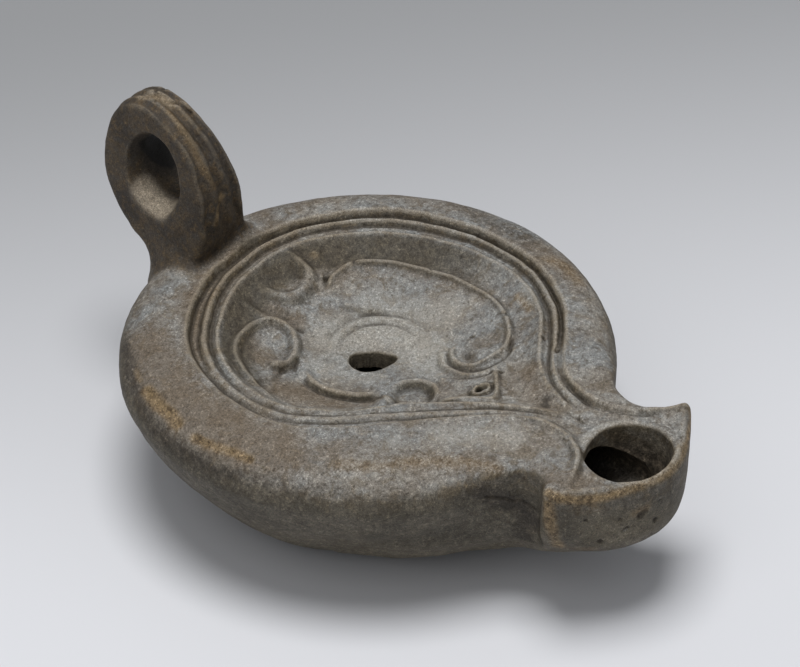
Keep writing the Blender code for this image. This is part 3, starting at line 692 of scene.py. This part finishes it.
def new_mesh(name, verts, faces):
    mesh = bpy.data.meshes.new(name)
    mesh.vertices.add(len(verts))
    mesh.vertices.foreach_set("co", (verts * MM).astype(np.float32).ravel())
    corners = faces.shape[1]
    mesh.loops.add(faces.size)
    mesh.loops.foreach_set("vertex_index", faces.astype(np.int32).ravel())
    mesh.polygons.add(len(faces))
    mesh.polygons.foreach_set("loop_start", np.arange(0, faces.size, corners, dtype=np.int32))
    mesh.update(calc_edges=True)
    mesh.validate()
    return mesh


def build_lamp():
    low, full = grid_field()
    verts, quads = surface(low, full)
    verts = settle(verts, 1)
    mesh = new_mesh("lamp", verts, quads)
    obj = bpy.data.objects.new("lamp", mesh)
    bpy.context.scene.collection.objects.link(obj)
    # the hidden hollow needs few triangles, the relief many
    group = obj.vertex_groups.new(name="hidden")
    radius = np.hypot(verts[:, 0], verts[:, 1])
    hidden = look(CAVITY_TABLE, radius, verts[:, 2], 0.0, -6.0, R_STEP) < 0.25
    group.add([int(i) for i in np.nonzero(hidden)[0]], 1.0, "REPLACE")
    total = 2.0 * len(quads)
    spare = 2.0 * hidden.sum() * 0.88
    first = obj.modifiers.new("hollow", "DECIMATE")
    first.ratio, first.vertex_group, first.use_collapse_triangulate = 1.0 - spare / total, "hidden", True
    second = obj.modifiers.new("all", "DECIMATE")
    second.ratio, second.use_collapse_triangulate = min(1.0, TRIANGLES / (total - spare)), True
    graph = bpy.context.evaluated_depsgraph_get()
    fine = bpy.data.meshes.new_from_object(obj.evaluated_get(graph))
    obj.modifiers.clear()
    obj.vertex_groups.clear()
    obj.data = fine
    fine.name = "lamp"
    bpy.data.meshes.remove(mesh)
    p = np.empty(len(fine.vertices) * 3, np.float32)
    fine.vertices.foreach_get("co", p)
    p = settle(p.reshape(-1, 3) / MM, 1)
    fine.vertices.foreach_set("co", (p * MM).astype(np.float32).ravel())
    normal = slope_of(p, 0.12)
    normal /= np.maximum(np.linalg.norm(normal, axis=1), 1e-6)[:, None]
    fine.polygons.foreach_set("use_smooth", np.ones(len(fine.polygons), bool))
    fine.update()
    fine.normals_split_custom_set_from_vertices(normal.tolist())

    def bend(h):
        total = np.zeros(len(p), np.float32)
        for k in range(3):
            step = np.zeros(3, np.float32)
            step[k] = h
            total += form(p + step) + form(p - step)
        return total / (6.0 * h)

    fine_bend, wide_bend = bend(0.7), bend(2.2)
    put(fine, "edge", np.clip(fine_bend * 2.2, 0, 1))
    put(fine, "hollow", np.clip(-fine_bend * 3.0, 0, 1))
    put(fine, "edge_wide", np.clip(wide_bend * 1.5, 0, 1))
    put(fine, "hollow_wide", np.clip(-wide_bend * 2.0, 0, 1))
    zones(fine, p, normal)
    return obj


def put(mesh, name, values):
    mesh.attributes.new(name, "FLOAT", "POINT").data.foreach_set("value", values.astype(np.float32))


# where the surface is worn or stained, and where shade and light are painted on: (points in mm, reach, strength)
PAINT = {
    "ochre": (
        (((-33.3, 18.0, 26.9), (-34.9, 14.3, 27.0), (-35.6, 11.0, 27.2), (-36.5, 8.8, 26.9)), 1.5, 0.95),
        (((-37.3, 4.8, 26.8), (-37.1, 1.1, 26.9), (-36.5, -2.1, 27.2), (-36.1, -5.4, 27.2)), 1.2, 0.85),
        (((-30.4, 23.0, 26.6), (-32.0, 20.6, 26.8)), 1.0, 0.6),
        (((-29.0, -17.6, 27.9), (-25.4, -22.6, 28.0), (-22.6, -24.6, 27.9), (-20.0, -27.4, 27.8), (-17.8, -30.4, 27.8), (-15.8, -33.6, 27.8),
          (-14.6, -36.4, 27.8)), 2.3, 0.60), (((-33.6, -14.8, 24.4), (-31.6, -18.4, 24.4)), 1.5, 0.75),
        (((-14.5, -46.3, 28.1), (-13.7, -48.1, 27.4), (-12.4, -49.8, 27.0), (-10.6, -51.4, 27.0), (-8.8, -53.0, 27.0), (-7.0, -54.1, 27.3),
          (-3.8, -55.8, 27.5), (-0.5, -57.1, 27.5), (2.6, -57.3, 27.5), (5.6, -56.6, 27.6), (9.3, -55.0, 27.4), (11.4, -53.9, 27.2),
          (13.3, -53.0, 26.9), (15.6, -50.8, 26.9), (16.2, -49.4, 27.4)), 1.05, 0.95),
        (((-15.1, -46.8, 26.2), (-14.9, -47.0, 23.3), (-13.8, -47.2, 20.0), (-12.6, -47.4, 16.6)), 1.35, 0.95),
        (((-12.8, -48.4, 15.0), (-9.8, -51.4, 15.6)), 1.9, 0.6), (((-3.2, -57.0, 23.4), (-5.2, -56.0, 22.8)), 1.4, 0.65),
        (((-12.0, -50.6, 24.6), (-9.6, -52.4, 25.0)), 1.6, 0.45), (((4.0, -57.0, 24.0), (8.6, -55.4, 22.0)), 2.4, 0.5),
        (((22.6, -12.6, 26.6), (21.6, -14.9, 26.7), (20.6, -16.4, 26.9)), 1.3, 0.70), (((19.4, -18.2, 27.2),), 0.9, 0.6),
        (((32.2, -12.4, 27.8), (33.0, -15.0, 27.4), (31.1, -18.4, 27.4)), 2.8, 0.6),
        (((-1.0, 40.6, 52.4), (-1.5, 37.4, 50.8), (-1.9, 35.0, 48.6), (-2.1, 33.4, 46.5), (-1.8, 32.0, 44.6), (-1.2, 31.2, 42.0)), 1.1, 0.62),
        (((-5.2, 36.0, 35.6), (-5.5, 33.4, 33.4), (-5.8, 31.7, 31.5)), 1.9, 0.45), (((-7.6, 33.0, 28.0),), 1.6, 0.5),
        (((0.3, 30.8, 39.4), (-1.2, 30.3, 38.0), (-2.2, 30.1, 35.6)), 0.9, 0.8), (((-1.0, 46.0, 53.0), (0.2, 44.0, 53.1), (0.6, 41.4, 52.8)), 1.8, 0.6),
        (((-25.6, 8.0, 28.0), (-24.2, 14.0, 28.0), (-20.6, 19.3, 28.0), (-14.6, 23.8, 28.0), (-8.0, 25.2, 28.0)), 1.3, 0.55),
        (((-3.0, 28.6, 28.0), (2.0, 29.0, 28.0), (8.0, 26.2, 28.0)), 1.5, 0.45), (((-4.0, 14.0, 25.0),), 1.6, 0.4),
        (((0.8, 20.6, 24.8), (3.0, 18.4, 24.6)), 2.0, 0.45), (((10.2, 19.8, 26.6),), 1.3, 0.6)),
    "brown": (
        (((-26.0, 25.0, 28.0), (-31.0, 18.0, 28.0), (-34.0, 9.0, 28.0), (-34.5, 0.0, 28.0), (-33.0, -7.0, 28.0)), 6.5, 0.85),
        (((-27.0, -15.0, 28.0), (-20.0, -26.0, 28.0), (-15.0, -35.0, 28.0)), 4.5, 0.45), (((-17.0, 4.0, 24.0), (-13.0, -7.0, 24.0)), 4.5, 0.65),
        (((-14.0, 12.0, 25.0), (-9.0, 22.0, 26.0)), 3.6, 0.6), (((-4.2, 17.4, 25.2), (-2.4, 13.4, 24.4)), 2.4, 0.95),
        (((8.6, 20.6, 26.6), (12.0, 17.6, 26.2)), 3.0, 0.85), (((-22.0, 18.0, 28.0), (-12.0, 25.6, 28.0), (0.0, 28.6, 28.0), (10.0, 26.4, 28.0)), 3.6, 0.75),
        (((33.0, -8.0, 28.0), (32.0, -17.0, 27.5)), 4.5, 0.6), (((22.0, -20.0, 28.0), (17.0, -24.0, 28.0)), 3.0, 0.4),
        (((2.0, -34.0, 27.0), (8.0, -26.0, 27.0)), 3.4, 0.55), (((-12.0, -44.0, 28.0), (-9.0, -50.0, 27.6)), 3.4, 0.6),
        (((19.5, 6.0, 25.0), (21.5, -6.0, 25.0)), 3.4, 0.45), (((14.0, 8.0, 24.5), (10.0, 14.0, 24.5)), 3.4, 0.35),
        (((-10.0, -36.0, 28.0), (-6.0, -40.0, 28.0)), 3.0, 0.35), (((14.0, 34.0, 28.0), (27.0, 26.0, 28.0), (36.0, 8.0, 28.0)), 5.0, 0.45), (((14.0, -44.0, 27.6), (13.0, -50.0, 27.6)), 3.0, 0.35)),
    "stain_and_shade": (
        (((-25.5, 29.4, 25.0), (-28.9, 25.2, 25.4), (-31.9, 21.6, 25.2), (-34.8, 17.2, 25.0), (-37.0, 12.6, 24.6), (-38.4, 8.0, 24.4),
          (-38.8, 3.4, 24.4), (-38.6, -1.4, 24.4), (-37.6, -6.0, 24.6)), 2.1, 0.75),
        (((-37.6, -6.0, 24.6), (-35.0, -12.6, 24.6), (-30.6, -20.6, 24.6)), 2.8, 0.62),
        (((-16.8, -35.2, 24.0), (-14.4, -38.0, 21.8), (-12.7, -39.9, 20.4), (-12.1, -42.3, 18.8)), 2.2, 0.9),
        (((-12.6, -41.2, 18.0), (-12.8, -40.6, 14.5)), 2.6, 0.75), (((-24.0, -27.0, 25.2), (-18.4, -33.6, 24.8)), 2.0, 0.6),
        (((2.2, -33.2, 27.0), (4.4, -32.2, 27.0)), 1.1, 0.9), (((-3.8, 17.2, 25.4), (-2.8, 14.6, 24.6)), 1.3, 0.6), (((8.7, 15.8, 24.9),), 0.9, 0.8),
        (((13.7, 14.2, 25.9),), 0.7, 0.8), (((-4.2, -56.5, 22.1), (-3.6, -56.9, 22.8)), 0.9, 0.9), (((-9.2, -52.6, 18.2),), 1.0, 0.6),
        (((-1.5, -57.3, 19.9),), 1.0, 0.6), (((27.6, -4.0, 28.0), (28.4, -10.0, 28.0)), 2.4, 0.4), (((34.6, 6.0, 28.0), (34.6, -6.0, 28.0)), 5.0, 0.55),
        (((30.0, 10.0, 28.0), (24.0, 20.0, 28.0)), 2.8, 0.4), (((20.0, -27.0, 28.0), (17.0, -31.0, 28.0)), 2.6, 0.35),
        (((-3.4, 33.4, 43.6), (-4.2, 34.0, 38.6)), 2.0, 0.6), (((-4.6, 46.6, 47.0), (-4.4, 48.4, 38.5)), 2.8, 0.45),
        # painted shade: the second and third marks below darken the inside of the handle hole and of the nozzle channel
        (((2.4, 31.0, 40.0), (3.2, 33.0, 46.4), (3.2, 36.8, 50.6)), 1.2, 0.55), (((-0.4, 45.8, 44.4), (1.7, 45.8, 41.0), (4.6, 46.2, 37.0)), 3.3, 1.7), (((0.6, -44.0, 16.0), (0.6, -38.0, 15.0), (0.6, -30.0, 14.0)), 7.0, 1.8),
        # painted shade: the marks below darken the inside of the handle hole and the sunk field near the front
        (((2.6, 38.6, 39.6),), 3.0, 1.2), (((-4.0, -11.4, 24.4), (-3.4, -12.6, 24.6)), 2.6, 0.5),
        (((-14.0, -18.0, 28.0), (-19.0, -14.6, 28.0)), 1.6, 0.3)),
    "wear_and_painted_light": (
        # painted light: the first mark below lightens the floor of the handle hole, with some pale dust
        (((-3.2, 44.2, 36.2), (-3.2, 42.1, 35.2), (-3.4, 40.0, 35.2)), 3.0, 0.8), (((-0.6, 46.0, 53.0), (0.4, 44.0, 53.1), (0.8, 41.6, 52.8)), 2.0, 0.45),
        (((-4.6, -43.8, 27.5), (0.2, -42.9, 27.6), (3.5, -43.4, 27.6), (6.4, -45.4, 27.5), (8.3, -49.2, 27.4)), 0.8, 0.75),
        (((-36.2, -7.8, 26.7), (-34.8, -8.1, 25.4)), 0.6, 0.9), (((-24.4, -25.0, 27.5), (-25.3, -26.8, 26.6)), 0.6, 0.7),
        (((-0.6, 7.0, 22.5), (8.0, 1.0, 23.0), (5.0, -8.0, 24.0)), 6.0, 0.72), (((-8.0, 5.0, 23.5), (-7.0, 0.0, 23.0), (-4.0, -4.0, 23.0)), 3.0, 0.5),
        (((8.0, 6.0, 24.0), (14.0, -4.0, 24.5)), 5.0, 0.6), (((-3.0, -16.0, 26.0), (2.0, -21.0, 26.0)), 2.6, 0.4),
        (((-14.0, -26.0, 28.2), (-8.0, -34.0, 28.2)), 4.0, 0.5), (((-27.0, -19.0, 28.0), (-20.0, -21.0, 28.2)), 3.4, 0.4),
        (((0.0, 0.0, 4.0),), 8.0, 1.0), (((-10.0, -52.6, 20.0), (-3.0, -56.6, 19.0), (5.0, -57.0, 19.0)), 5.0, 0.42), (((24.0, -12.6, 27.8), (22.0, -16.4, 27.8)), 1.0, 0.6)),
}


def line_reach(p, points):
    """Squared distance of each point to a line of points in space."""
    pts = np.array(points, np.float32)
    best = ((p - pts[0]) ** 2).sum(1)
    for a, b in zip(pts[:-1], pts[1:]):
        v = b - a
        t = np.clip(((p - a) @ v) / (v @ v), 0.0, 1.0)
        best = np.minimum(best, ((p - a - t[:, None] * v) ** 2).sum(1))
    return best


def zones(mesh, p, normal):
    """Masks for the parts that are coloured apart: handle, side (painted shade), inside."""
    x, y, z = p.T
    handle = smooth((1.9 - handle_field(x, y, z)) / 1.5) * smooth((z - 22.5) / 3.5) * (y > 27.0)
    handle = np.maximum(handle, smooth((z - 30.0) / 1.5))
    # painted shade: surfaces that turn away from the overhead light are marked as the side
    side = smooth((0.88 - normal[:, 2]) / 0.42) * (1 - handle)
    radius = np.hypot(x, y)
    hollow = look(CAVITY_TABLE, radius, z, 0.0, -6.0, R_STEP)
    inner = (hollow < 0.6).astype(np.float32)
    wick = look(PLAN, x, y, X0, Y0, GRID)[:, 4]
    inner = np.maximum(inner, smooth((26.0 - z) / 2.5) * (wick < 0.7))
    put(mesh, "handle", handle)
    put(mesh, "side", side)
    put(mesh, "inner", inner)
    # the foot of the crest on its far side, which faces the camera, holds painted shade and some brown dirt
    steep = look(np.stack([depth_in], -1).astype(np.float32), x, y, X0, Y0, GRID)[:, 0]
    far_side = smooth((x * 0.20 + (y - RING_Y) * 0.90 + 3.0) / 14.0)
    put(mesh, "slope", smooth(steep / 0.8) * smooth((6.6 - steep) / 2.6) * far_side * (z > 20.0))
    for name, spots in PAINT.items():
        mask = np.zeros(len(p), np.float32)
        for points, reach, strength in spots:
            mask = np.maximum(mask, strength * np.exp(-line_reach(p, points) / (reach * reach)))
        put(mesh, name, mask)


lamp = build_lamp()

# ------------------------------------------------------------------ clay
class Tree:
    """Short way to write the nodes of a material."""

    def __init__(self, name):
        self.material = bpy.data.materials.new(name)
        self.material.use_nodes = True
        self.nodes, self.links = self.material.node_tree.nodes, self.material.node_tree.links
        self.shader = self.nodes["Principled BSDF"]

    def node(self, kind, inputs=None, **settings):
        node = self.nodes.new(kind)
        for key, value in settings.items():
            setattr(node, key, value)
        for key, value in (inputs or {}).items():
            self.set(node.inputs[key], value)
        return node

    def set(self, socket, value):
        if isinstance(value, bpy.types.NodeSocket):
            self.links.new(value, socket)
        else:
            socket.default_value = value

    def math(self, operation, a, b=0.0, c=0.0, clamp=False):
        return self.node("ShaderNodeMath", {0: a, 1: b, 2: c}, operation=operation, use_clamp=clamp).outputs[0]

    def mix(self, factor, a, b, blend="MIX"):
        node = self.node("ShaderNodeMix", data_type="RGBA", blend_type=blend, clamp_factor=True)
        self.set(node.inputs[0], factor)
        self.set(node.inputs[6], a)
        self.set(node.inputs[7], b)
        return node.outputs[2]

    def noise(self, where, scale, detail=4.0, roughness=0.55, distortion=0.0):
        return self.node("ShaderNodeTexNoise", {"Vector": where, "Scale": scale, "Detail": detail, "Roughness": roughness,
                                                "Distortion": distortion}).outputs["Fac"]

    def ramp(self, value, low, high):
        return self.node("ShaderNodeMapRange", {"Value": value, "From Min": low, "From Max": high}, interpolation_type="SMOOTHSTEP").outputs[0]

    def attribute(self, name):
        return self.node("ShaderNodeAttribute", attribute_name=name).outputs["Fac"]


def grey(r, g, b):
    """A colour given as it looks on a screen, from 0 to 255."""
    def linear(c):
        c /= 255.0
        return c / 12.92 if c <= 0.04045 else ((c + 0.055) / 1.055) ** 2.4
    return (linear(r), linear(g), linear(b), 1.0)


def clay():
    t = Tree("worn_clay")
    where = t.node("ShaderNodeTexCoord").outputs["Object"]
    mm = t.node("ShaderNodeVectorMath", {0: where, 1: (1000.0, 1000.0, 1000.0)}, operation="MULTIPLY").outputs[0]
    edge, hollow = t.attribute("edge"), t.attribute("hollow")
    edge_wide, hollow_wide = t.attribute("edge_wide"), t.attribute("hollow_wide")
    handle, side, inner = t.attribute("handle"), t.attribute("side"), t.attribute("inner")

    slope, ochre, brown = t.attribute("slope"), t.attribute("ochre"), t.attribute("brown")
    stain_and_shade, wear_and_painted_light = t.attribute("stain_and_shade"), t.attribute("wear_and_painted_light")

    clouds = t.noise(mm, 0.055, 4.0, 0.6, 0.6)
    patches = t.noise(mm, 0.17, 6.0, 0.62, 0.4)
    mottle = t.noise(mm, 0.85, 7.0, 0.70)
    speck = t.noise(mm, 2.4, 4.0, 0.7)
    grain = t.noise(mm, 5.5, 3.0, 0.75)
    ragged = t.math("ADD", t.math("MULTIPLY", mottle, 0.6), t.math("MULTIPLY", speck, 0.4))

    def spread(mask, low, high, amount, torn=0.9):
        """A mask with a ragged edge."""
        edge_noise = t.math("MULTIPLY", t.math("SUBTRACT", ragged, 0.5), torn * 2.0)
        return t.math("MULTIPLY", t.ramp(t.math("MULTIPLY", mask, t.math("ADD", edge_noise, 1.0)), low, high), amount)

    colour = t.mix(t.ramp(clouds, 0.38, 0.62), grey(121, 122, 121), grey(131, 126, 118))
    colour = t.mix(t.math("MULTIPLY", t.ramp(patches, 0.46, 0.66), 0.75), colour, grey(108, 100, 90))
    colour = t.mix(t.math("MULTIPLY", t.ramp(patches, 0.52, 0.34), 0.7), colour, grey(134, 135, 133))
    colour = t.mix(t.math("MULTIPLY", t.ramp(mottle, 0.49, 0.64), 0.62), colour, grey(90, 82, 72))
    colour = t.mix(t.math("MULTIPLY", t.ramp(mottle, 0.48, 0.35), 0.40), colour, grey(152, 149, 142))
    smears = t.noise(mm, 0.33, 5.0, 0.62, 0.8)
    colour = t.mix(t.math("MULTIPLY", t.ramp(smears, 0.52, 0.64), 0.60), colour, grey(98, 88, 73))
    colour = t.mix(t.math("MULTIPLY", t.ramp(smears, 0.44, 0.34), 0.40), colour, grey(104, 107, 108))
    colour = t.mix(spread(wear_and_painted_light, 0.12, 0.80, 0.52, 1.4), colour, grey(170, 167, 159))
    colour = t.mix(spread(brown, 0.12, 0.70, 0.72, 0.6), colour, grey(100, 87, 71))
    # painted shade, with some brown dirt: the far foot of the crest is coloured dark brown
    colour = t.mix(t.math("MULTIPLY", slope, 0.88), colour, t.mix(t.ramp(mottle, 0.4, 0.62), grey(78, 71, 58), grey(56, 50, 40)))
    # painted shade: the side below the shoulder, which turns away from the overhead light, is darker and smoother; it
    # is lighter towards the bottom and browner near the shoulder
    side_shade_tone = t.mix(t.ramp(patches, 0.38, 0.66), grey(86, 79, 65), grey(66, 61, 50))
    side_shade_tone = t.mix(t.math("MULTIPLY", t.ramp(mottle, 0.52, 0.70), 0.5), side_shade_tone, grey(104, 94, 78))
    height_mm = t.node("ShaderNodeSeparateXYZ", {0: mm}).outputs[2]
    side_shade_tone = t.mix(t.math("MULTIPLY", t.ramp(height_mm, 16.0, 5.0), 0.65), side_shade_tone, grey(108, 100, 84))
    side_shade_tone = t.mix(t.math("MULTIPLY", t.ramp(height_mm, 22.5, 26.5), 0.60), side_shade_tone, t.mix(t.ramp(smears, 0.44, 0.58), grey(94, 88, 78), grey(84, 72, 53)))
    side_shade_tone = t.mix(spread(wear_and_painted_light, 0.12, 0.80, 0.60, 1.4), side_shade_tone, grey(122, 111, 88))
    colour = t.mix(t.math("MULTIPLY", side, 0.90), colour, side_shade_tone)
    # the handle: dark umber
    umber = t.mix(t.ramp(patches, 0.40, 0.62), grey(74, 62, 46), grey(52, 45, 37))
    umber = t.mix(t.math("MULTIPLY", t.ramp(mottle, 0.50, 0.62), 0.7), umber, grey(106, 88, 62))
    umber = t.mix(t.math("MULTIPLY", t.ramp(mottle, 0.49, 0.38), 0.75), umber, grey(38, 36, 34))
    umber = t.mix(t.math("MULTIPLY", t.ramp(smears, 0.50, 0.60), 0.45), umber, grey(48, 40, 31))
    # painted light with some pale dust: the floor of the handle hole is lighter
    umber = t.mix(spread(wear_and_painted_light, 0.2, 0.7, 0.8, 0.4), umber, grey(168, 156, 138))
    colour = t.mix(t.math("MULTIPLY", handle, 0.95), colour, umber)
    # inside
    depth_tone = t.mix(t.ramp(mottle, 0.4, 0.6), grey(96, 87, 75), grey(66, 59, 50))
    # painted light: the floor of the handle hole is lighter
    depth_tone = t.mix(t.math("MULTIPLY", spread(wear_and_painted_light, 0.15, 0.95, 0.85, 0.7), handle), depth_tone, t.mix(t.ramp(mottle, 0.4, 0.6), grey(190, 174, 152), grey(140, 125, 106)))
    colour = t.mix(t.math("MULTIPLY", inner, 0.95), colour, depth_tone)
    # stains and wear, and painted shade in the handle hole, the nozzle channel and the sunk field near the front
    colour = t.mix(spread(stain_and_shade, 0.25, 0.80, 0.80, 0.8), colour, grey(54, 48, 41))
    # painted shade: the strongest marks, inside the handle hole and the nozzle channel, turn near black
    colour = t.mix(t.math("MULTIPLY", t.ramp(stain_and_shade, 0.92, 1.30), 0.93), colour, grey(13, 11, 9))
    # painted shade and dirt in the hollows: darker where the surface is concave
    hollow_shade_and_dirt = t.ramp(t.math("ADD", t.math("MULTIPLY", hollow_wide, 0.30), t.math("MULTIPLY", hollow, 0.9)), 0.12, 0.80)
    colour = t.mix(t.math("MULTIPLY", hollow_shade_and_dirt, 0.80), colour, grey(54, 47, 37))
    # rubbed edges: pale on the body
    rub = t.math("MULTIPLY", t.ramp(edge, 0.14, 0.6), t.ramp(ragged, 0.30, 0.62), clamp=True)
    colour = t.mix(t.math("MULTIPLY", rub, 0.55), colour, t.mix(t.ramp(clouds, 0.45, 0.55), grey(168, 158, 142), grey(158, 146, 126)))
    colour = t.mix(spread(ochre, 0.24, 0.90, 0.78, 1.5), colour, t.mix(t.ramp(ragged, 0.42, 0.60), grey(140, 119, 86), grey(96, 78, 53)))
    # specks and grain
    uneven = t.math("MULTIPLY_ADD", t.math("MAXIMUM", side, handle), 0.45, 0.25)
    colour = t.mix(t.math("MULTIPLY", t.ramp(mottle, 0.51, 0.63), uneven), colour, (0.55, 0.53, 0.50, 1.0), "MULTIPLY")
    colour = t.mix(t.math("MULTIPLY", t.ramp(mottle, 0.49, 0.38), uneven), colour, (1.60, 1.57, 1.52, 1.0), "MULTIPLY")
    colour = t.mix(t.math("MULTIPLY", t.ramp(speck, 0.54, 0.67), 0.85), colour, (0.36, 0.33, 0.30, 1.0), "MULTIPLY")
    colour = t.mix(t.math("MULTIPLY", t.ramp(speck, 0.46, 0.32), 0.85), colour, (2.00, 2.00, 2.00, 1.0), "MULTIPLY")
    colour = t.mix(t.math("MULTIPLY", t.ramp(grain, 0.50, 0.66), 0.75), colour, (0.48, 0.46, 0.43, 1.0), "MULTIPLY")
    colour = t.mix(t.math("MULTIPLY", t.ramp(grain, 0.48, 0.33), 0.75), colour, (1.85, 1.85, 1.85, 1.0), "MULTIPLY")

    height = t.math("ADD", t.math("MULTIPLY", mottle, 0.45), t.math("ADD", t.math("MULTIPLY", speck, 0.30), t.math("MULTIPLY", grain, 0.12)))
    bump = t.node("ShaderNodeBump", {"Strength": 0.9, "Distance": 0.0006, "Height": height}).outputs[0]
    rough = t.math("MULTIPLY_ADD", patches, 0.22, 0.50)
    t.set(t.shader.inputs["Base Color"], colour)
    t.set(t.shader.inputs["Roughness"], rough)
    t.set(t.shader.inputs["Normal"], bump)
    t.shader.inputs["Specular IOR Level"].default_value = 0.35
    return t.material


lamp.data.materials.clear()
lamp.data.materials.append(clay())
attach(lamp, "root")
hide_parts("lamp_body")

# ------------------------------------------------------------------ floor and light
def backdrop():
    size = 3.0
    mesh = bpy.data.meshes.new("floor")
    mesh.from_pydata([(-size, -size, 0), (size, -size, 0), (size, size, 0), (-size, size, 0)], [], [(0, 1, 2, 3)])
    obj = bpy.data.objects.new("floor", mesh)
    bpy.context.scene.collection.objects.link(obj)
    t = Tree("floor")
    where = t.node("ShaderNodeTexCoord").outputs["Object"]
    away = t.node("ShaderNodeVectorMath", {0: where, 1: (-back.x, -back.y, 0.0)}, operation="DOT_PRODUCT").outputs["Value"]
    across = t.node("ShaderNodeVectorMath", {0: where, 1: (right.x, right.y, 0.0)}, operation="DOT_PRODUCT").outputs["Value"]
    # painted light falloff: the floor is painted darker away from the camera and towards the left
    away = t.math("MULTIPLY_ADD", across, -0.22, away)
    colour = t.mix(t.ramp(away, -0.03, 0.125), grey(214, 215, 219), grey(145, 146, 148))
    t.set(t.shader.inputs["Base Color"], colour)
    t.shader.inputs["Roughness"].default_value = 0.42
    t.shader.inputs["Specular IOR Level"].default_value = 0.5
    mesh.materials.append(t.material)


def lamp_light(name, at, toward, size, power, colour=(1.0, 1.0, 1.0)):
    data = bpy.data.lights.new(name, "AREA")
    data.shape, data.size, data.energy, data.color = "DISK", size, power, colour
    obj = bpy.data.objects.new(name, data)
    bpy.context.scene.collection.objects.link(obj)
    obj.location = at
    obj.rotation_euler = (Vector(toward) - Vector(at)).to_track_quat("-Z", "Y").to_euler()
    return obj


backdrop()
far = Vector((-back.x, -back.y, 0)).normalized()
side_dir = Vector((right.x, right.y, 0)).normalized()
key = far * -0.03 - side_dir * 0.02 + Vector((0, 0, 0.95))
lamp_light("key", key, (0, 0, 0.01), 0.50, 7.4)
fill = -far * 0.55 - side_dir * 0.40 + Vector((0, 0, 0.80))
lamp_light("fill", fill, (0, 0, 0.01), 0.8, 1.5)
world = bpy.data.worlds.new("world")
bpy.context.scene.world = world
world.use_nodes = True
world.node_tree.nodes["Background"].inputs["Color"].default_value = (0.95, 0.97, 1.0, 1.0)
world.node_tree.nodes["Background"].inputs["Strength"].default_value = 0.27
bpy.context.scene.view_settings.view_transform = "Standard"
